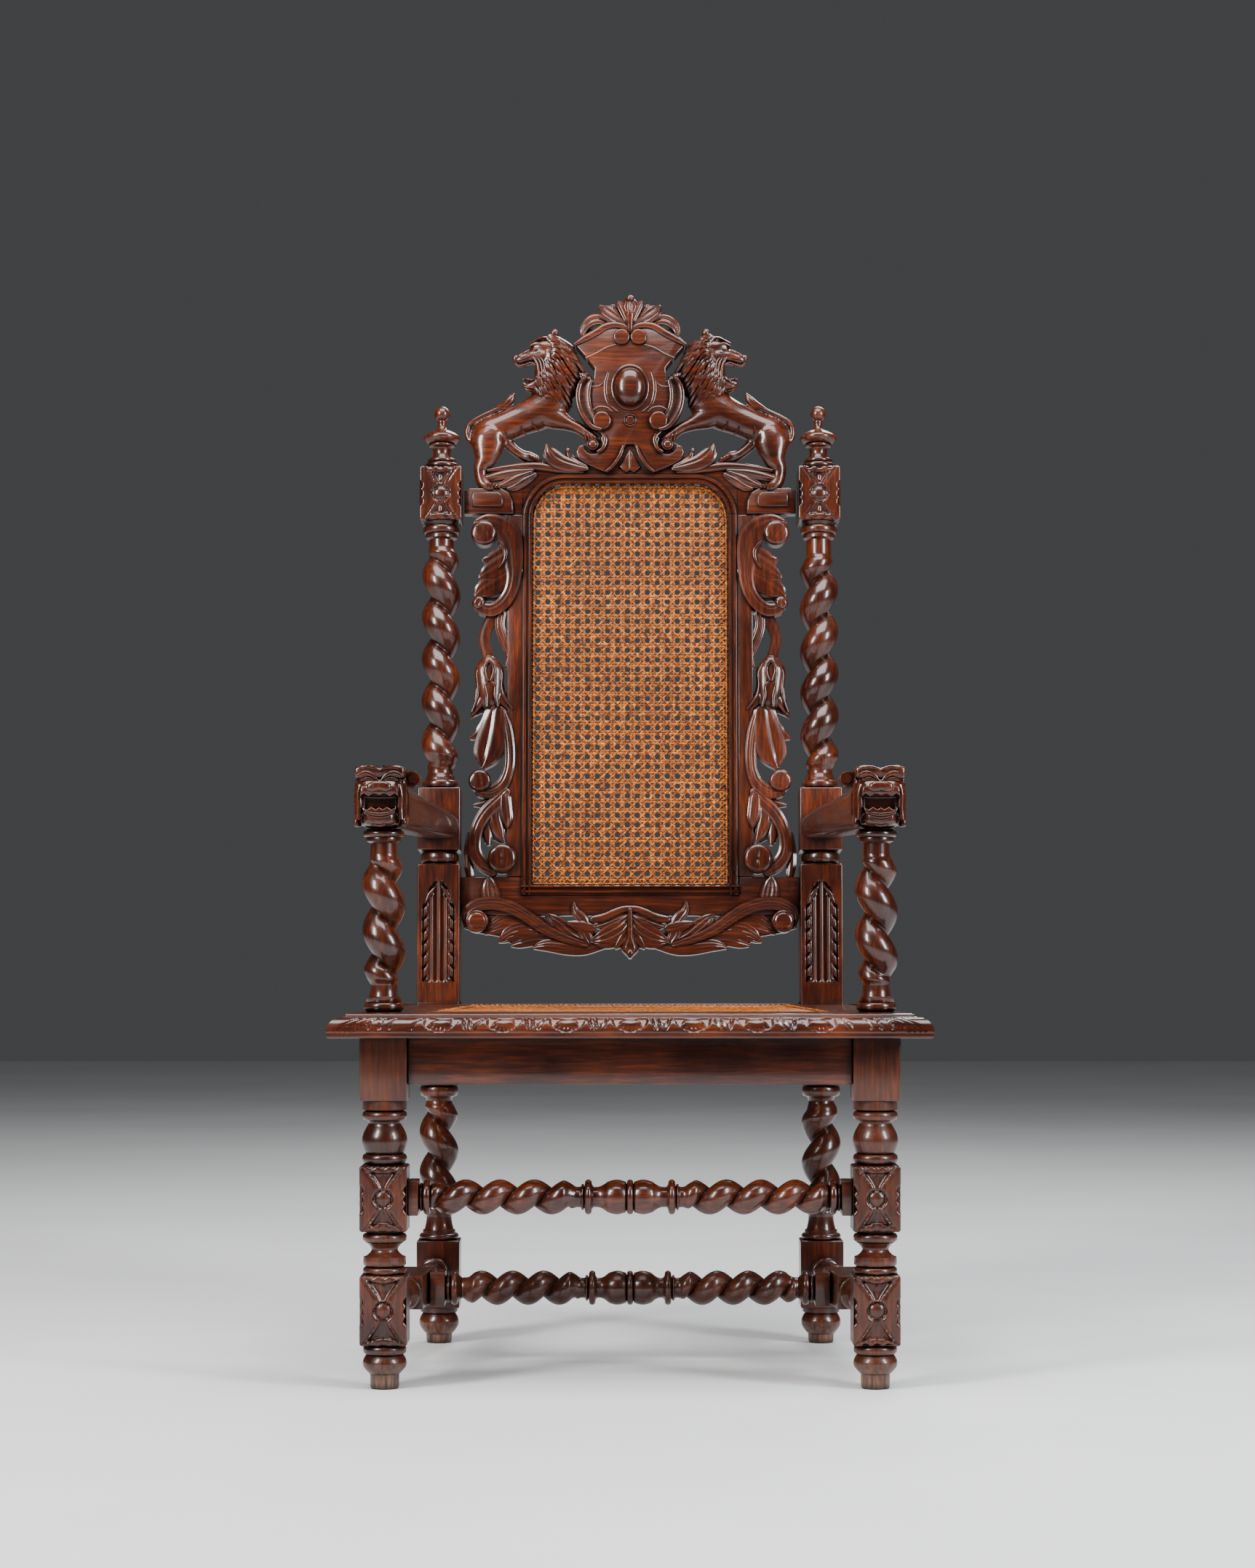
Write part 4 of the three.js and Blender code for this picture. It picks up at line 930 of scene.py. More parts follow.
def limb(bm, rows, sides=20):
    # A round limb: rows of (x, v, radius, middle depth, depth radius).
    path = throughRows(rows, 2.5)
    rings = []
    for i, (x, v, radius, middle, deep) in enumerate(path):
        before, after = path[max(i - 1, 0)], path[min(i + 1, len(path) - 1)]
        tx, tv = after[0] - before[0], after[1] - before[1]
        size = hypot(tx, tv) or 1
        nx, nv = -tv / size, tx / size
        rings.append([Vector((x + nx * radius * cos(a), middle + deep * sin(a), v + nv * radius * cos(a)))
                      for a in [2 * pi * k / sides for k in range(sides)]])
    first, last = path[0], path[-1]
    for endRing, row, place in ((rings[0], first, 0), (rings[-1], last, len(rings))):
        middle = Vector((row[0], row[3], row[1]))
        other = rings[2] if place == 0 else rings[-3]
        centre = sum(other, Vector()) / len(other)
        tip = [p.lerp(middle, 0.45) + (middle - centre).normalized() * row[2] * 0.45 for p in endRing]
        rings.insert(place if place == 0 else len(rings), tip)
    loft(bm, rings)


def fused(bm, size=1.7, smoothing=3):
    # One smooth skin, of cells of a size in millimetres, round overlapping closed shapes.
    bmesh.ops.recalc_face_normals(bm, faces=bm.faces)
    mesh = bpy.data.meshes.new("fusing")
    bm.to_mesh(mesh)
    bm.free()
    holder = bpy.data.objects.new("fusing", mesh)
    bpy.context.scene.collection.objects.link(holder)
    remesh = holder.modifiers.new("skin", "REMESH")
    remesh.mode = "VOXEL"
    remesh.voxel_size = size
    soften = holder.modifiers.new("soften", "SMOOTH")
    soften.factor = 0.5
    soften.iterations = smoothing
    evaluated = holder.evaluated_get(bpy.context.evaluated_depsgraph_get())
    result = bmesh.new()
    result.from_mesh(evaluated.to_mesh())
    evaluated.to_mesh_clear()
    bpy.data.objects.remove(holder)
    bpy.data.meshes.remove(mesh)
    return result


def sideCarving(bm):
    # low ground that joins each group of leaves
    board(bm, [(148, 596), (162, 588), (184, 566), (193, 545), (200, 526), (192, 520), (160, 519), (147, 540)], -6, 6)
    board(bm, [(166, 436), (184, 440), (196, 424), (200, 390), (203, 368), (190, 374), (150, 374), (160, 400)], -5, 6)
    board(bm, [(158, 376), (182, 374), (196, 346), (193, 314), (188, 302), (172, 312), (160, 330)], -6, 6)
    board(bm, [(156, 272), (176, 268), (190, 236), (186, 206), (178, 212), (166, 206), (156, 226)], -5, 6)
    # the upper scroll: a broad leaf whose lobes fan out from the strap
    leaves(bm, [
        (-13, 2, 0.5, 1.4, [(152, 588, 12), (166, 578, 11), (178, 571.5, 9), (187, 570.5, 4)]),
        (-14, 3, 0.5, 1.4, [(149, 574, 13), (166, 563, 14), (181, 554, 12), (191, 549, 5)]),
        (-13.5, 3, 0.5, 1.4, [(149, 560, 13), (164, 548, 15), (180, 538, 14), (191, 531, 10), (198, 525, 3)]),
        (-10.5, 2, 0.6, 1.8, [(150, 546, 9), (163, 535, 9), (176, 528, 6), (185, 524, 1.5)]),
        (-15, 3, 0.5, 1.4, [(197, 619, 5), (182, 621, 10), (166, 614, 14), (155, 602, 15), (151, 586, 13.5),
            (149.5, 568, 12), (149, 550, 9.5), (153, 531, 8.5), (163, 515, 8.5), (177, 506, 8.5), (192, 508, 7)]),
    ])
    stroke(bm, [(170, 596, 1.2), (160, 584, 1.6), (161, 570, 1.4), (168, 560, 1)], -16.4, drop=1)
    ball(bm, 188, 606, 16.5, 16.5, -19, ribs=3, ribTurn=-0.6, ribDepth=0.6, flat=3, deep=6)
    ball(bm, 194, 515, 8.8, 9, -18, ribs=2, ribTurn=0.5, flat=1.5, deep=6)
    # two straps down to the bell flower
    stroke(bm, [(175, 500, 8), (184, 484, 7), (187, 468, 6.5), (183, 448, 7)], -9, veins=1, hollow=1.4, drop=2)
    stroke(bm, [(165, 503, 6.5), (167, 487, 6), (163, 472, 6.5), (157, 458, 6.5), (154.5, 446, 5), (158, 433, 2.5)],
           -10, veins=2, drop=2)
    # the bell flower: one flared bell with a slit in its hood and ribs down to its lips
    bell = bmesh.new()
    limb(bell, [(182, 444, 9.5, -4, 9), (181, 431, 18.5, -5, 12), (180, 415, 18.5, -5, 12.5),
                (179, 398, 16.5, -5, 12), (177, 386, 14, -4, 11), (176, 380, 11, -3, 9)])
    limb(bell, [(184, 404, 10, -3, 9), (191, 389, 8.5, -3, 9), (198, 377, 5.5, -3, 7), (204, 367, 1.5, -3, 4)])
    limb(bell, [(172, 404, 10, -3, 9), (163, 389, 9, -3, 9), (154, 379, 6.5, -3, 7), (142, 371.5, 1.5, -3, 4)])
    addPart(bm, fused(bell, 1.3, 2))
    for side in (-1, 1):
        stroke(bm, [(180, 440, 1.2), (180 + side * 5, 433, 2), (180 + side * 6, 424, 2.2),
                    (180 + side * 1.5, 413, 1.2)], -19.5, drop=1.8, samples=9)
        stroke(bm, [(180 + side * 2, 412, 1.2), (179 + side * 7, 406, 2), (178 + side * 5.5, 394, 1.8),
                    (176 + side * 7, 380, 1.2)], -18.5, drop=1.6, samples=9)
    ridges(bm, [
        (-13, 1.5, [(190, 436, 1), (195.5, 424, 1.3), (194.5, 408, 1.3), (196, 392, 1.3), (202, 374, 0.9)]),
        (-13, 1.5, [(170, 436, 1), (165, 424, 1.3), (165.5, 408, 1.3), (162, 394, 1.3), (150, 378, 0.9)]),
    ])
    # the hanging leaf, with its own scroll
    leaves(bm, [
        (-11.5, 2, 0.3, 1.6, [(178, 374, 8), (182, 358, 10), (191, 347, 8.5), (205, 340, 1)]),
        (-13, 2, 0.35, 1.6, [(174, 374, 9), (180, 352, 12), (185, 335, 13), (189, 320, 11), (189, 307, 4)]),
        (-14.5, 2, 0.4, 1.8, [(167, 374, 9), (168, 352, 11), (171, 332, 12), (177, 316, 10), (188, 301, 2)]),
        (-14, 3, 0.6, 2, [(163, 374, 5), (158, 355, 6.5), (155, 335, 7), (154, 315, 7), (156, 297, 7), (163, 281, 8),
            (177, 271, 8.5), (192, 272, 7.5)]),
    ])
    ball(bm, 192, 285, 14.5, 14.5, -19, ribs=3, ribTurn=-0.2, ribDepth=0.6, flat=3, deep=6)
    leaves(bm, [
        (-9, 1, 0.8, 2, [(166, 264, 8), (184, 257, 6), (200, 254, 1)]),
        # the lowest scroll
        (-14, 2, 0.8, 2.5, [(160, 264, 8), (159, 248, 9), (157, 236, 7.5), (156.5, 226, 2.5)]),
        (-9, 1, 0.8, 2.5, [(182, 250, 7), (184, 232, 8), (182, 216, 7), (180, 203, 2)]),
        (-12, 2, 0.8, 2.5, [(171, 256, 7), (172, 238, 8.5), (167, 220, 7.5), (161, 206, 2)]),
        (-13.5, 3, 0.6, 2, [(158, 271, 6), (170, 258, 8.5), (184, 244, 8.5), (194, 227, 8), (198, 208, 8),
            (197, 192, 8.5), (188, 178, 9), (174, 170, 8)]),
        (-9, 1, 0.8, 2, [(204, 216, 5), (206, 196, 6), (206, 178, 6), (204, 163.5, 5)]),
    ])
    ball(bm, 163, 185, 18.5, 19, -19, ribs=7, ribDepth=1.0, flat=3, deep=6)


stileShape = {"low": 162.4, "high": 630.6, "mouldX": 126.5, "boardX": (138.6, 157.6), "front": -10, "back": 10.5}


def stile(bm):
    low, high = stileShape["low"], stileShape["high"]
    inner, outer = stileShape["boardX"]
    steps = 60
    mould(bm, [(stileShape["mouldX"], mix(low, high, i / steps), 1, 0) for i in range(steps + 1)])
    board(bm, [(inner, low), (outer, low), (outer, high), (inner, high)], stileShape["front"], stileShape["back"])
    sideCarving(bm)


def trimmed(bm, planes):
    # Cuts a mesh by planes given as (place, outward direction) and closes it.
    for place, direction in planes:
        cutting = bmesh.ops.bisect_plane(bm, geom=allOf(bm), plane_co=place, plane_no=direction, clear_outer=True,
                                         dist=0.0001)
        edges = [e for e in cutting["geom_cut"] if isinstance(e, bmesh.types.BMEdge)]
        if edges:
            bmesh.ops.holes_fill(bm, edges=edges, sides=0)


postFace = chair["postX"] - innerFace
for side, name in ((1, "right"), (-1, "left")):
    bm = bmesh.new()
    stile(bm)
    trimmed(bm, [((postFace, 0, 0), (1, 0, 0)), ((0, 0, stileShape["low"]), (0, 0, -1)),
                 ((0, 0, stileShape["high"]), (0, 0, 1))])
    if side < 0:
        bm.transform(mirrorX)
    finishPiece(f"backStile_{name}", bm, oakUp, [f"back_stile_{name}"], backSpace, 50)
print("stiles ready")


def railCarving(bm):
    # leaf behind the strap, its lower lobes, and the strap that winds into a disc
    leaves(bm, [
        (-9.5, 6, 0.9, 1.5, [(116, 101, 11), (138, 105, 15), (158, 104, 14), (176, 96, 8), (184, 91, 3)]),
        (-11, 5, 1.0, 1.8, [(104, 92, 9), (130, 94, 12), (150, 90, 11), (163, 82, 5), (168, 79, 1)]),
        (-10, 4, 0.9, 1.8, [(98, 82, 7), (122, 83, 9), (142, 78, 7), (152, 74, 1.5)]),
        (-12.5, 4, 0.8, 1.8, [(34, 76, 6), (58, 71.5, 9), (80, 72, 9.5), (102, 74.5, 8), (116, 73.5, 5),
            (123, 71, 1.5)]),
        # upright leaves between the strap and the palmette
        (-12, 4, 1.1, 2, [(60, 80, 6), (76, 87, 10), (89, 97, 12), (99, 106, 9), (107, 114, 2)]),
        (-13.5, 2, 1.2, 2, [(52, 80, 6), (57, 90, 9), (58, 100, 9), (63, 110, 8), (70, 118, 5), (72, 130, 1)]),
        (-14, 2, 0.8, 1.8, [(50, 96, 8), (64, 99, 8), (80, 103, 2)]),
    ])
    stroke(bm, [(208, 100, 4), (209, 112, 6), (203, 121, 8), (190, 127, 8.5), (173, 128, 8.5), (155, 124, 8.5),
                (139, 116.5, 8), (124, 106.5, 7.5), (110, 96.5, 7), (94, 88, 6), (76, 81, 5), (56, 75, 3)], -15,
           veins=2, veinDepth=0.7, drop=1.6, hollow=0.8)
    ball(bm, 195, 105, 15, 14.5, -18, flat=4, deep=5, groove=0.8)
    # half of the palmette: two cupped leaves under a band
    stroke(bm, [(5, 111, 8), (20, 105, 10), (33, 100.5, 7), (43, 98, 1.5)], -13, veins=3, veinDepth=1.1, drop=2)
    stroke(bm, [(3, 104, 9), (11, 94, 14), (24, 86, 15), (37, 81.5, 11), (49, 80, 2.5)], -16, veins=4, veinDepth=1.3,
           drop=2.6, hollow=1)
    stroke(bm, [(2, 92, 8), (9, 82, 8), (15, 75, 5), (19, 70, 1)], -15, veins=2, drop=2.2)
    stroke(bm, [(47, 107, 4.5), (34, 109.5, 5), (21, 115.5, 4.5), (9, 120, 4), (-2, 121, 3.5)], -15.5, drop=1.6)
    stroke(bm, [(176, 132, 12), (178.5, 146, 11.5), (179.5, 156, 7.5), (180, 162, 1.4)], -13.5, veins=2,
           veinDepth=1.6, drop=2, hollow=1)


railShape = {"low": 113, "notchX": 138.7, "notchLow": 139, "high": 162, "mouldHeight": 151, "front": -9, "back": 11}


def rail(bm):
    low, notch, high = railShape["low"], railShape["notchLow"], railShape["high"]
    half = [(0, low), (postFace, low), (postFace, high), (railShape["notchX"], high), (railShape["notchX"], notch)]
    board(bm, half[1:] + [(-x, v) for x, v in half[:0:-1]], railShape["front"], railShape["back"])
    mould(bm, [(mix(-138.6, 138.6, i / 60), railShape["mouldHeight"], 0, -1) for i in range(61)])
    for side in (-1, 1):
        mould(bm, [(side * stileShape["mouldX"], v, side, 0) for v in (notch, 145, 151, 156, high)])
    web = [(212, 97), (195, 91), (164, 86), (150, 76), (124, 78), (118, 71), (98, 69), (58, 64.5), (24, 74), (0, 66)]
    upper = [(0, 88), (40, 90), (56, 94), (80, 98), (95, 100), (112, 108), (125, 120), (150, 131), (208, 122)]
    board(bm, web[:-1] + [(-x, v) for x, v in web[:-1]][::-1] + [(-x, v) for x, v in upper[1:]][::-1] + upper[1:],
          -6.5, 8)
    stroke(bm, [(0, 60, 3), (0, 65, 8), (0, 70, 11.5), (0, 77, 8), (0, 84, 5), (0, 100, 4.5), (0, 120, 3)], -19,
           veins=2, drop=5)
    ball(bm, 0, 64, 5, 5, -21, 2, deep=4)
    bothSides(bm, railCarving)


bm = bmesh.new()
rail(bm)
trimmed(bm, [((postFace, 0, 0), (1, 0, 0)), ((-postFace, 0, 0), (-1, 0, 0))])
finishPiece("backBottomRail", bm, oakAcross, ["back_bottom_rail"], backSpace, 50)
print("bottom rail ready")


crestShape = {
    "low": 631.2,  # its joint with the stiles
    "openHalf": 126.5, "openTop": 671,  # the moulding's inner edge round the cane
    "boss": (796.5, 20.3, 25.5), "bossRim": (25, 30.5),  # the oval boss: height, half width, half height; its groove
}


def archPath(cornerSteps=18):
    # The rounded top of the cane opening from the left joint to the right one, with outward directions.
    c = caneBack
    half, top = crestShape["openHalf"], crestShape["openTop"]
    right = [(half, crestShape["low"] - 0.2, 1, 0)]
    for i in range(cornerSteps + 1):
        a = pi / 2 * i / cornerSteps
        nx, nv = cos(a) / c["cornerWide"], sin(a) / c["cornerHigh"]
        size = hypot(nx, nv)
        right.append((half - c["cornerWide"] + c["cornerWide"] * cos(a),
                      top - c["cornerHigh"] + c["cornerHigh"] * sin(a), nx / size, nv / size))
    return right + [(-x, v, -nx, nv) for x, v, nx, nv in right[::-1]]


def lionBody(bm):
    # loin, belly and chest
    limb(bm, [(200, 728, 9, 0, 8), (187, 737, 19, 0, 14), (165, 746, 20, 0, 15), (140, 757, 21, 0, 16),
              (120, 766, 24, 0, 18), (104, 776, 26, 0, 19), (98, 790, 26, -1, 18)])
    # mane
    limb(bm, [(92, 764, 13, -2, 11), (97, 785, 24, -2, 15), (94, 806, 30, -2, 17), (94, 828, 29, -2, 17),
              (99, 846, 20, -2, 15), (102, 858, 9, -2, 10)])
    # haunch and near hind leg
    limb(bm, [(176, 742, 16, -5, 12), (182, 729, 22, -6, 13), (184, 714, 19, -6, 12), (187, 702, 14, -6, 11),
              (192, 692, 10, -6, 9), (192, 682, 8.5, -6, 8), (189, 673, 8.5, -7, 8), (183, 667, 7.5, -8, 8),
              (176, 665, 6, -9, 7)])
    # far hind leg with its paw
    limb(bm, [(160, 728, 8, 2, 8), (150, 718, 7, 2, 8), (140, 711, 7, 2, 8), (130, 707, 8, 0, 8),
              (120, 703, 6.5, -1, 7)])
    # brow, muzzle, lower jaw and the corner of the mouth
    limb(bm, [(104, 850, 13, -2, 14), (116, 851, 11, -2, 13), (125, 851, 8, -2, 10)])
    limb(bm, [(112, 838, 13, -2, 15), (124, 839, 10.5, -2, 13), (135, 836.5, 9, -2, 11), (143, 834, 8.5, -2, 10),
              (147, 832, 6.5, -2, 8)])
    limb(bm, [(110, 808, 15, -2, 13), (122, 802, 10, -2, 11), (131, 800, 7.5, -2, 9), (136, 803, 4.5, -2, 7)])
    limb(bm, [(108, 826, 14, -2, 13), (117, 823, 8, -2, 10)])
    # ear
    limb(bm, [(109, 857, 6, -4, 6), (102, 864, 5, -4, 5), (98, 870, 4.5, -4, 4.5)])
    # forelegs
    limb(bm, [(84, 800, 12, 0, 10), (72, 808, 9, 0, 9), (60, 811, 7.5, -4, 8), (52, 806, 6, -8, 8)])
    limb(bm, [(110, 764, 18, -4, 14), (94, 757, 15, -5, 12), (80, 750, 9.5, -6, 10), (66, 744, 7.5, -6, 9),
              (55, 736, 7.5, -7, 9), (48, 730, 7, -9, 8)])
    # tail
    limb(bm, [(200, 722, 4.5, 0, 5), (208, 732, 4.2, 0, 4.5), (210, 743, 3.8, 0, 4), (205, 753, 3.4, 0, 4),
              (193, 761, 3.2, 0, 4), (178, 768, 3.4, 0, 4), (166, 774, 5, 0, 4.5), (157, 781, 6, 0, 5),
              (152, 787, 4, 0, 4), (150, 792, 1.5, 0, 2)], 16)


def hair(bm, points, wide, lift=1.0, sides=6):
    # a tapering ridge along points in the back's space
    rings = []
    last = len(points) - 1
    for i, point in enumerate(points):
        heading = points[min(i + 1, last)] - points[max(i - 1, 0)]
        across = Vector((-heading.z, 0, heading.x)).normalized()
        size = wide * (sin(pi * min(i / last * 0.92 + 0.1, 1)) ** 0.6) + 0.15
        rings.append([point + across * size * cos(a) + Vector((0, size * lift * sin(a), 0))
                      for a in [2 * pi * k / sides for k in range(sides)]])
    loft(bm, rings)


def lock(bm, start, end, bow, wide, lift, sides=6, steps=9):
    # a lock bowed sideways, from (x, v, depth) to (x, v, depth)
    a, b = Vector((start[0], start[2], start[1])), Vector((end[0], end[2], end[1]))
    sideways = Vector((a.z - b.z, 0, b.x - a.x)).normalized()
    shares = [i / steps for i in range(steps + 1)]
    points = [a.lerp(b, t) + sideways * bow * sin(pi * t) * (1 - 0.4 * t) for t in shares]
    hair(bm, points, wide, lift, sides)


# the flow of the mane: each line starts beside the face and ends at the mane's edge
maneFlow = [
    [(114, 861), (103, 866), (92, 863), (82, 856), (71, 849)],
    [(109, 857), (98, 859), (85, 851), (73, 840), (62, 828)],
    [(105, 851), (94, 851), (80, 841), (66, 827), (53, 813)],
    [(104, 844), (94, 841), (83, 829), (73, 815), (63, 803)],
    [(106, 836), (98, 829), (89, 813), (79, 797), (71, 787)],
    [(110, 830), (104, 816), (96, 800), (86, 784), (75, 767)],
    [(114, 824), (109, 806), (102, 792), (94, 781), (83, 768)],
    [(118, 818), (115, 801), (110, 789), (103, 781), (97, 775)],
    [(123, 809), (122, 799), (119, 790), (114, 784), (110, 779)],
]
# the mane's middle line, half width and half depth at a height
maneBulk = [(757, 92, 9, 7), (764, 92, 14, 11), (785, 97, 27, 15), (806, 94, 33, 17.5), (828, 94, 32, 17.5),
            (846, 98, 24, 15.5), (858, 101, 14, 11), (872, 101, 8, 6)]


def maneDepth(x, v):
    for low, high in zip(maneBulk, maneBulk[1:]):
        if v <= high[0]:
            break
    share = min(max((v - low[0]) / (high[0] - low[0]), 0), 1)
    middle, half, deep = [mix(a, b, share) for a, b in zip(low[1:], high[1:])]
    return -2 - deep * sqrt(max(0.06, 1 - ((x - middle) / half) ** 2))


def flowPoint(across, along):
    # a place on the mane: across runs from the crown to the chin, along from the face outwards
    places = []
    for line in maneFlow:
        span = along * (len(line) - 1)
        k = min(int(span), len(line) - 2)
        places.append(Vector(line[k]).lerp(Vector(line[k + 1]), span - k))
    span = across * (len(places) - 1)
    k = min(int(span), len(places) - 2)
    return places[k].lerp(places[k + 1], span - k)


def lionHair(bm):
    random.seed(5)
    layers = ((0.5, 22, 0.5, 3.0), (0.28, 24, 0.5, 2.7), (0.08, 22, 0.46, 2.3), (0.0, 17, 0.3, 1.7))
    for layer, (first, count, reach, wide) in enumerate(layers):
        for i in range(count):
            across = (i + 0.5 * (layer % 2)) / (count - 0.5)
            begin = max(0.0, first + random.uniform(-0.08, 0.08))
            end = min(1.0, begin + reach * random.uniform(0.8, 1.15))
            sway = random.uniform(-0.02, 0.02)
            points = []
            for k in range(11):
                t = k / 10
                x, v = flowPoint(min(max(across + sway * sin(3 * t), 0), 1), mix(begin, end, t))
                points.append(Vector((x, maneDepth(x, v) + 0.6 - 1.4 * sin(pi * t), v)))
            hair(bm, points, wide * random.uniform(0.75, 1.15), 1.2)
    # tuft of the tail, ribs and claws
    for x0, v0, x1, v1 in ((170, 771, 154, 790), (173, 773, 150, 792), (167, 770, 150, 784), (164, 770, 150, 778)):
        lock(bm, (x0, v0, -3), (x1, v1, -2), 2, 2.0, 1.0)
    for x0, v0, x1, v1 in ((140, 745, 133, 734), (126, 752, 117, 739), (159, 746, 158, 731)):
        lock(bm, (x0, v0, -15), (x1, v1, -12), 2, 1.2, 1.0)
    for k in range(4):
        lock(bm, (60 - 4.4 * k, 736 - 1.6 * k, -15), (57 - 4 * k, 725 + 0.6 * k, -14), -1.5, 2.3, 1.2)
        lock(bm, (184 - 4 * k, 671 - k, -15), (181 - 4.6 * k, 661.5 + 0.5 * k, -13), -1, 2.3, 1.2)
        lock(bm, (130 - 4 * k, 710 - 1.6 * k, -9), (122 - 3 * k, 702 - 1.6 * k, -8), 1, 2.2, 1.1)
        lock(bm, (62 - 3.6 * k, 815 - 1.6 * k, -12), (56 - 2.6 * k, 806 - 1.2 * k, -14), 1, 2.1, 1.1)


def lionFace(bm):
    # brow, eye and the fold below it
    lock(bm, (130, 851, -10.5), (112, 851, -16), -4, 2.2, 1.0, 8)
    lock(bm, (128, 844.5, -11.5), (115, 842.5, -16), 2, 1.4, 1.0, 8)
    ball(bm, 121.5, 846.8, 2.3, 2, -15.2, -8, deep=2, segments=14)
    for k in range(5):
        lock(bm, (130 - 2.4 * k, 854.5 + 1.1 * k, -11 - k), (113 - 2 * k, 859 + 0.9 * k, -12), -1.5, 1.3, 1.0)
    # the ruff from the eye past the mouth to the chin
    for shift, wide in ((0, 2.6), (4.5, 2.1), (8.5, 1.8)):
        line = throughRows([(128 - shift, 842 - shift * 0.4), (121 - shift, 830), (117.5 - shift, 816),
                            (119 - shift, 803), (124 - shift * 1.3, 792)], 3)
        hair(bm, [Vector((x, min(maneDepth(x, v), -11.5) - 0.6, v)) for x, v in line], wide, 1.1, 8)
    # bridge of the nose, nose, lips
    lock(bm, (130, 846, -10), (147, 838.5, -8), -1.2, 2.6, 1.0, 8)
    ball(bm, 147.6, 836, 4.2, 4.2, -10.5, 4, deep=3, segments=18)
    lips = throughRows([(149, 829), (144, 824.5), (136, 826.5), (128, 829), (121.5, 825), (119.5, 816), (121.5, 809),
                        (128, 806.5), (135, 808.5), (138.5, 806)], 3)
    hair(bm, [Vector((x, -11.5, v)) for x, v in lips], 1.9, 1.3, 8)
    for x in (146, 142.5, 139, 135.5):
        lock(bm, (x, 828, -10.5), (x - 0.6, 823, -9.5), 0, 1.5, 1.0, 6, 4)
        lock(bm, (x - 8, 805, -9), (x - 8, 809.5, -9), 0, 1.2, 1.0, 6, 4)
    for k in range(3):
        lock(bm, (138 - k, 803 - 3.4 * k, -8), (128 - 2 * k, 800 - 3.6 * k, -10), 1, 1.4, 1.0)
        lock(bm, (143 - 3 * k, 833 + 0.5 * k, -11.5), (131 - 2 * k, 834 + 1.4 * k, -13), -1, 1.1, 0.9)
    ball(bm, 98, 870, 5.2, 5, -9, 2, deep=4, segments=20)


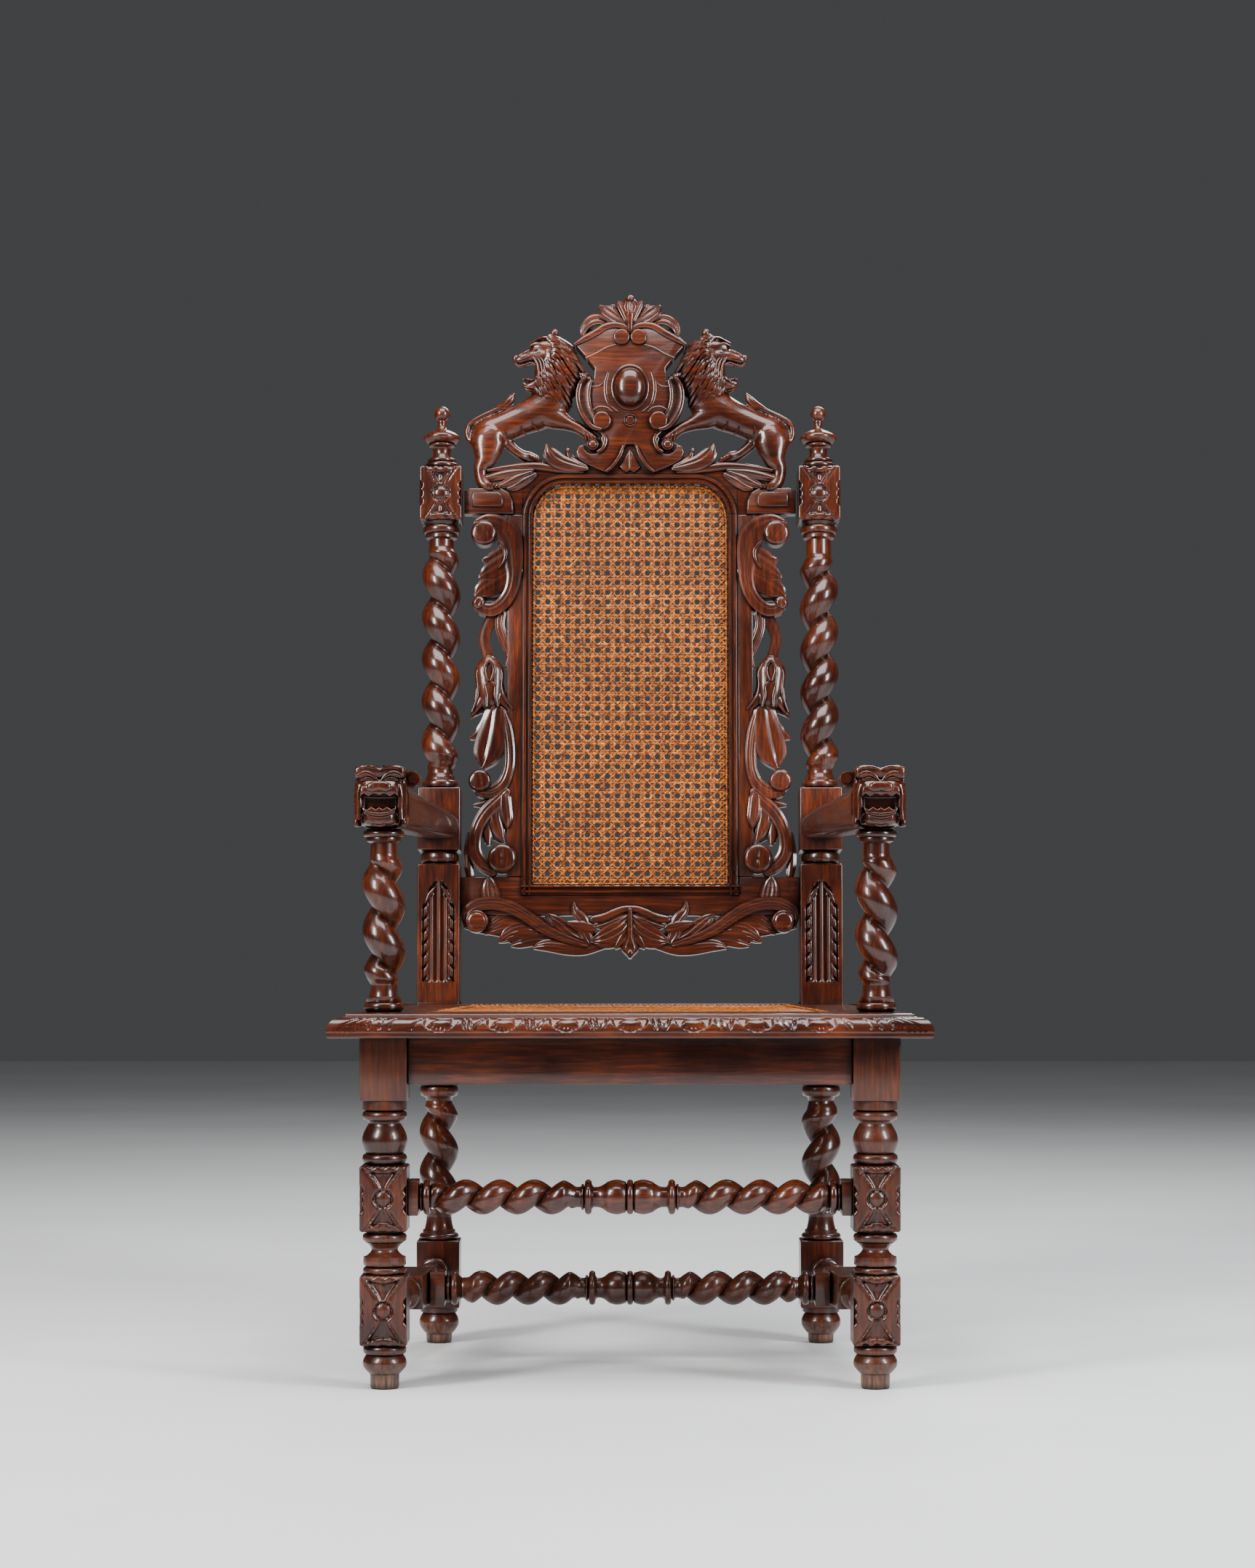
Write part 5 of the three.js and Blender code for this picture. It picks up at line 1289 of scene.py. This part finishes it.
def crestHalf(bm):
    # leaves that lie along the arch
    for rows in ([(172, 666, 1.5), (160, 671, 5.5), (144, 679, 7.5), (128, 686, 3)],
                 [(158, 664, 1.5), (149, 667, 5.5), (136, 675, 7), (122, 683, 3)],
                 [(186, 678, 4), (170, 682, 6.5), (150, 686, 6.5), (126, 688.5, 3)]):
        stroke(bm, rows, -13, veins=1, veinDepth=1.6, drop=3)
    stroke(bm, [(184, 688, 2), (160, 691.5, 4), (136, 694, 5), (112, 693, 6), (84, 688, 4.5), (60, 686, 2)], -12.5,
           drop=3)
    # the large leaf and the bud behind it
    leaves(bm, [
        (-15.5, 3, 0.8, 2.2, [(107.5, 722, 1.2), (104.5, 712.5, 8), (98, 704, 10.5), (87, 697.5, 9.5), (72, 693, 7.5),
            (56, 690, 3)]),
        (-13, 1, 0.8, 3.5, [(80.5, 713, 3), (77, 704, 5.5), (68, 698, 6), (58, 694, 4.5)]),
    ])
    ball(bm, 80.5, 714, 3, 3, -15, 4, deep=3, segments=18)
    # rims and small scroll of the lowest lobe
    stroke(bm, [(31, 685, 1.4), (22, 693, 1.9), (13.5, 705.5, 1.9), (8.5, 719, 1)], -18.5, drop=1.2, samples=7)
    ball(bm, 48, 721, 8, 7.5, -20, deep=5, groove=1.4)
    stroke(bm, [(34, 734, 1.5), (31.5, 727, 2), (35, 716, 2), (42, 710.5, 1.6)], -18.5, drop=1.4, samples=7)
    # side scroll of the cartouche: a channel between two rims, wound into a disc
    stroke(bm, [(54, 808, 5), (59, 799, 7.5), (60.5, 783, 8), (57.5, 768, 7), (51, 755, 6), (45, 746, 4)], -17,
           drop=1, hollow=2.6)
    stroke(bm, [(56, 809, 1.4), (64.5, 800, 2.2), (67.5, 784, 2.4), (64.5, 767, 2.4), (56.5, 752, 2.4),
                (47, 742.5, 2.4), (37, 740, 1.4)], -20.5, drop=1.4, samples=9)
    stroke(bm, [(50, 805, 1.2), (53, 792, 1.7), (53, 779, 1.7), (50, 767, 1.5), (46, 761, 0.9)], -18.5, drop=1.2,
           samples=7)
    ball(bm, 36.5, 752, 12.5, 12.5, -20, flat=7, deep=5)
    ridges(bm, [
        (-14.7, 1.2, [(23, 764, 1), (30, 769, 1.7), (40, 770, 1.8), (49, 765, 1.2)]),
        (-14.6, 1.2, [(50, 797, 1), (40, 797.5, 1.5), (32.5, 804, 1.5), (28, 815, 1.2)]),
        (-14.9, 1.2, [(28, 816, 1.2), (31.5, 803, 1.7), (31.5, 788, 1.8), (26.5, 773, 1.6), (16, 764, 1.2)]),
        (-14.8, 1.4, [(57, 834.5, 1.4), (44, 840, 1.8), (30, 848, 1.8), (18, 852, 1.2)]),
    ])
    # rolled top edge, wound into a second disc that meets its twin
    stroke(bm, [(72, 852, 1.5), (60, 859.5, 4), (45, 868, 4.8), (33, 875.5, 5), (21, 878.5, 4.6), (9, 876.5, 4.4),
                (1, 870, 3)], -17, drop=2.6)
    ball(bm, 11, 862.5, 11.2, 10.5, -18.5, flat=7, deep=5)
    # palmette
    stroke(bm, [(26, 881, 4), (38, 887, 6.5), (49, 886, 7), (57, 879, 5.5), (61, 869, 3.6), (60.5, 859, 1)], -14, 2,
           veins=2, veinDepth=1.6, hollow=1.5, drop=2)
    ball(bm, 52, 868, 7, 7.5, -8, 3, groove=1.2, flat=3)
    stroke(bm, [(6, 880, 4), (16, 885, 7), (25, 891, 9.5), (33, 897, 8.5), (38.5, 902, 2.5)], -17, 2, veins=3,
           veinDepth=1.8, drop=3)
    stroke(bm, [(10, 884, 3), (18, 894, 5.5), (22, 901, 5), (22, 905.5, 1.5)], -15, 2, veins=1, veinDepth=1.5,
           drop=2.5)
    stroke(bm, [(20, 885, 4), (31, 889, 5), (40, 891, 1.5)], -14, 2, veins=1, drop=2.5)
    stroke(bm, [(4, 884, 3), (8, 895, 4.5), (12, 904, 4.5), (15, 909, 1.5)], -18, 2, veins=1, veinDepth=1.5, drop=2.5)


def shield(bm):
    # the cartouche: one flat board whose lowest lobes are hollowed round two small scrolls
    around = [(48 + 12 * cos(a), 721.5 + 12 * sin(a)) for a in [pi * (0.02 - 0.155 * k) for k in range(9)]]
    right = [(5, 722), (9, 716), (13, 705), (22, 692), (31, 684.5), (42, 689.5), (55, 695), (66, 702), (70, 711),
             (67, 719)]
    right += around + [(36, 733), (44, 741), (56, 750), (64, 768), (65, 785), (61, 803), (47, 806), (46, 822),
                       (56, 835), (70, 851), (60, 859), (46, 867), (30, 875), (8, 875)]
    board(bm, right + [(-x, v) for x, v in right[::-1]], -14, 6, 1.8)


def crestPlate(bm):
    arch = archPath()
    inner = [(x + nx * 12, v + nv * 12) for x, v, nx, nv in arch]
    low = crestShape["low"]
    outer = [(203, low), (203, 663), (188, 668), (184, 685), (140, 690), (106, 700), (106, 716), (84, 704),
             (72, 703), (70, 712), (60, 724), (40, 730), (58, 748), (67, 780), (62, 806), (47, 806), (46, 822),
             (56, 835), (70, 851), (46, 866), (30, 876)]
    left = [(-x, v) for x, v in outer]
    board(bm, [(inner[0][0], low)] + outer + left[::-1] + [(inner[-1][0], low)] + inner[::-1][1:-1], -8, 10, 1.2)
    mould(bm, arch)


def crest():
    bm = bmesh.new()
    crestPlate(bm)
    shield(bm)
    bothSides(bm, crestHalf)
    low = crestShape["low"]
    tab = [(150, low), (213, low), (213, 661), (205, 665), (166, 665), (156, 659), (151, 648)]
    for side in (-1, 1):
        board(bm, [(side * x, v) for x, v in tab], -13, 6, 1.6)
        board(bm, [(side * x, v) for x, v in ((166, 640), (203, 640), (203, 659), (169, 659), (164, 654),
              (163, 645))], -17, 6, 1.6)
    # oval boss in its groove, the small disc below it, the middle of the palmette
    height, across, tall = crestShape["boss"]
    ball(bm, 0, height, *crestShape["bossRim"], -16.6, groove=1.8, deep=2, flat=4)
    ball(bm, 0, height, across, tall, -28, deep=13, segments=48, flat=1.35)
    ball(bm, 0, 753, 8.5, 8.5, -16.5, groove=1.6, flat=5, deep=2)
    board(bm, [(-9, 702), (-14, 693), (-5, 685), (0, 689), (5, 685), (14, 693), (9, 702), (0, 716)], -11.5, 6, 1.6)
    stroke(bm, [(0, 714, 0.8), (0, 703, 1.4), (0, 691, 1)], -12.6, drop=1, samples=7)
    stroke(bm, [(0, 872, 4), (0, 884, 5), (0, 893, 7.5), (0, 901, 11), (0, 907, 9)], -21, 2, veins=3, veinDepth=1.8,
           drop=5)
    ball(bm, 0, 912, 5.5, 4.2, -23, 2, deep=5)

    def lion(part):
        body = bmesh.new()
        lionBody(body)
        addPart(part, fused(body))
        lionHair(part)
        lionFace(part)

    bothSides(bm, lion)
    trimmed(bm, [((postFace, 0, 0), (1, 0, 0)), ((-postFace, 0, 0), (-1, 0, 0)), ((0, 0, low), (0, 0, -1))])
    return finishPiece("crest", bm, oakAcross, ["crest"], backSpace, 50)


crest()
print("crest ready")


def armRing(y, x, wide, top, count=40):
    # The arm's section: flat sides, a rounded top, a slightly narrower underside.
    ring = []
    for i in range(count):
        a = 2 * pi * i / count
        c, s = cos(a), sin(a)
        px = copysign(abs(c) ** 0.42, c)
        pz = copysign(abs(s) ** (0.6 if s > 0 else 0.3), s)
        rise = (top - chair["armUnder"]) / 2
        ring.append(Vector((x + px * wide * (1 - 0.1 * smooth(0, -1, pz)), y, chair["armUnder"] + rise + pz * rise)))
    return ring


def headPart(bm, rows, x, power=0.55, count=28):
    # A rounded lump swept along Y: rows of (y, low, high, half width).
    path = throughRows([(y, 0, low, high, wide) for y, low, high, wide in rows], 2.5)
    rings = []
    for y, _, low, high, wide in path:
        ring = []
        for i in range(count):
            c, s = cos(2 * pi * i / count), sin(2 * pi * i / count)
            across, up = copysign(abs(c) ** power, c), copysign(abs(s) ** power, s)
            ring.append(Vector((x + across * wide, y, (low + high) / 2 + up * (high - low) / 2)))
        rings.append(ring)
    loft(bm, rings)


headX = 284  # the middle of the right lion head
armShape = {
    # (place from the front, distance inwards of the head's middle, half width, top)
    "stations": [(4, 0, 25, 698), (40, 2.5, 26, 694.5), (90, 6, 27, 691), (150, 12, 27, 687.5), (210, 18, 27, 684),
                 (270, 25.5, 26.5, 680.5), (330, 33, 26, 677), (415, 40.5, 26, 671)],
    "curls": ((34, 10, 18), (35.5, 6.2, 22)),  # behind the head: (distance inwards, radius, length)
    "curlY": 8, "curlHeight": 698,
}


def lionHead(bm):
    # skull, muzzle, jaw and the cheeks beside the open mouth
    x = headX
    headPart(bm, [(-31, 646, 697, 22), (-24, 643, 704, 25), (-12, 642, 706, 27.5), (14, 642, 703, 28)], x, power=0.36)
    headPart(bm, [(-48, 680, 688, 14), (-45, 678, 691, 18.5), (-39, 677, 697, 21.5), (-30, 677, 702, 24),
                  (-18, 676, 704, 25)], x, power=0.42)
    headPart(bm, [(-45, 647, 657, 12), (-42, 644, 660, 16.5), (-36, 642.5, 663, 19), (-24, 642, 666, 21.5)], x,
             power=0.5)
    for side in (-1, 1):
        headPart(bm, [(-28, 648, 694, 2), (-24, 644, 697, 3.2), (10, 643, 698, 3.6)], x + side * 26.5)
        headPart(bm, [(-40, 656, 690, 2), (-35, 652, 693, 3.4), (-20, 648, 695, 4)], x + side * 23)
        headPart(bm, [(-33, 642.4, 649, 2), (-29, 642.2, 653, 3.4), (-14, 642, 656, 4)], x + side * 26.8, power=0.45)


def headDetail(bm):
    # the flat cap over the brows, the nose, both lips, the folds of the chin and the mane behind the cheeks
    x = headX
    cap = [(-27.5, 699), (-28.5, 709), (-20, 712), (-9, 711.5), (0, 708.5), (9, 711.5), (20, 712), (28.5, 709),
           (27.5, 699), (20, 696), (9, 699.5), (0, 695), (-9, 699.5), (-20, 696)]
    nose = [(-13, 690.5), (-6, 693.5), (6, 693.5), (13, 690.5), (14.5, 684), (8, 680.5), (0, 682.5), (-8, 680.5),
            (-14.5, 684)]
    upperLip = [(-20, 688), (20, 688), (22, 676), (17.5, 679.5), (12, 676), (6, 679.5), (0, 677), (-6, 679.5),
                (-12, 676), (-17.5, 679.5), (-22, 676)]
    lowerLip = [(-17, 656), (17, 656), (19.5, 664.5), (14, 661), (9, 665), (4, 661.5), (0, 664.5), (-4, 661.5),
                (-9, 665), (-14, 661), (-19.5, 664.5)]
    for outline, front, back, ease in ((cap, -41, 12, 3), (nose, -51, -34, 3), (upperLip, -47.5, -34, 1.6),
                                       (lowerLip, -45.5, -32, 1.6)):
        board(bm, [(x + px, pz) for px, pz in outline], front, back, ease)
    for front, back, drop, samples, rows in (
            (-42.5, -30, 1.6, 9, [(2, 694, 1), (8, 700.5, 2.2), (17, 703, 2.4), (25, 700, 1.4)]),
            (-42.5, -30, 1.4, 9, [(6, 694, 1), (13, 696.5, 1.8), (21, 694.5, 1.2)]),
            (-40.5, -28, 1.6, 9, [(15, 690, 1.2), (21, 688, 2.2), (23.5, 678, 2.4), (23, 664, 2.4), (24.5, 650, 2)]),
            (-42, -30, 1, 7, [(2, 707, 0.8), (10, 709.5, 1.4), (22, 708.5, 0.9)])):
        for side in (-1, 1):
            stroke(bm, [(x + side * px, pz, wide) for px, pz, wide in rows], front, back, drop=drop, samples=samples)
    for side in (-1, 1):
        for k in range(7):
            lock(bm, (x + side * 27.4, 698 - 0.8 * k, -20 + 5 * k), (x + side * 28.6, 646, -20 + 5.2 * k), side * 1.2,
                 1.6, 0.8, 8, 8)
        for k in range(5):
            lock(bm, (x + side * (4 + 5.2 * k), 711.6 - 0.3 * k, -34 + k), (x + side * (6 + 5.0 * k), 711, 10), 1,
                 1.2, 0.7, 8, 7)
    for k in range(5):
        wide, top = 17 - 2.1 * k, 659.5 - 3.0 * k
        rows = [(x - wide, top, 0.7), (x - wide * 0.6, top - 2.6, 1.5), (x, top - 3.8, 1.7),
                (x + wide * 0.6, top - 2.6, 1.5), (x + wide, top, 0.7)]
        stroke(bm, rows, -47.4 + 1.1 * k, -30, drop=1.6, samples=9)


def arm(bm):
    smoothed = throughRows([(y, 0, headX - inwards, wide, top) for y, inwards, wide, top in armShape["stations"]], 12)
    loft(bm, [armRing(y, x, wide, top) for y, _, x, wide, top in smoothed])
    head = bmesh.new()
    lionHead(head)
    addPart(bm, fused(head, 1.3, 2))
    headDetail(bm)
    for inwards, size, depth in armShape["curls"]:
        curl = bmesh.new()
        bmesh.ops.create_cone(curl, cap_ends=True, segments=32, radius1=size, radius2=size * 0.86, depth=depth)
        place = Matrix.Translation((headX - inwards, armShape["curlY"], armShape["curlHeight"]))
        addPart(bm, curl, place @ Matrix.Rotation(pi / 2, 4, "X"))


slope = Matrix.Translation((0, chair["postY"], 0)) @ leaning
postFront = slope @ Vector((0, -innerFace, 240))
postNormal = slope.to_3x3() @ Vector((0, 1, 0))
for side, name in ((1, "right"), (-1, "left")):
    bm = bmesh.new()
    arm(bm)
    trimmed(bm, [(postFront, postNormal), ((0, 0, chair["armUnder"] + 0.2), (0, 0, -1))])
    if side < 0:
        bm.transform(mirrorX)
    finishPiece(f"arm_{name}", bm, oakDeep, [f"arm_{name}"], chairSpace, 50)
print("arms ready")


def studioFloor():
    bm = bmesh.new()
    bmesh.ops.create_grid(bm, x_segments=2, y_segments=2, size=9)
    mesh = bpy.data.meshes.new("studioFloor")
    bm.to_mesh(mesh)
    bm.free()
    material, tree, shader = shaderOf("paleFloor")
    coords = tree.nodes.new("ShaderNodeTexCoord").outputs["Object"]
    tone = ramp(tree, noise(tree, coords, 1.5), [(0.3, (0.60, 0.61, 0.62)), (0.7, (0.66, 0.67, 0.68))])
    tree.links.new(tone, shader.inputs["Base Color"])
    shader.inputs["Roughness"].default_value = 0.6
    mesh.materials.append(material)
    floor = bpy.data.objects.new("studioFloor", mesh)
    bpy.context.scene.collection.objects.link(floor)


def softLight(name, place, aim, size, power, colour=(1, 1, 1)):
    light = bpy.data.lights.new(name, "AREA")
    light.shape = "RECTANGLE"
    light.size, light.size_y = size
    light.energy = power
    light.color = colour
    lamp = bpy.data.objects.new(name, light)
    lamp.location = place
    lamp.rotation_euler = (Vector(aim) - Vector(place)).to_track_quat("-Z", "Y").to_euler()
    bpy.context.scene.collection.objects.link(lamp)


studioFloor()
softLight("keyLeft", place=(-2.2, -2.3, 2.2), aim=(0, 0, 0.75), size=(0.7, 1.7), power=205, colour=(1.0, 0.97, 0.93))
softLight("fillRight", place=(2.5, -1.9, 1.8), aim=(0, 0, 0.75), size=(0.7, 1.7), power=165, colour=(0.95, 0.98, 1.0))
softLight("topSoft", place=(0, -0.8, 3.2), aim=(0, 0, 0.5), size=(2.2, 1.6), power=135)
softLight("rearSoft", place=(0.8, 2.5, 3.4), aim=(0, 0, 0.8), size=(2.0, 1.2), power=90)
world = bpy.data.worlds.new("studioWorld")
world.use_nodes = True
backdrop = world.node_tree.nodes["Background"]
backdrop.inputs["Color"].default_value = (0.80, 0.82, 0.85, 1)
backdrop.inputs["Strength"].default_value = 0.075
bpy.context.scene.world = world

# the camera stands level and in front: distances and lens in millimetres, shifts as shares of the frame's height
view = {"distance": 3780, "height": 528, "lens": 75.74, "shiftAcross": -0.001623, "shiftUp": 0.091373}
cameraData = bpy.data.cameras.new("camera")
cameraData.sensor_fit = "VERTICAL"
cameraData.sensor_height = 36
cameraData.lens = view["lens"]
cameraData.shift_x, cameraData.shift_y = view["shiftAcross"], view["shiftUp"]
cameraData.clip_end = 60
camera = bpy.data.objects.new("camera", cameraData)
camera.location = (0, -(view["distance"] + chair["middleY"]) / 1000, view["height"] / 1000)
camera.rotation_euler = (pi / 2, 0, 0)
bpy.context.scene.collection.objects.link(camera)
bpy.context.scene.camera = camera
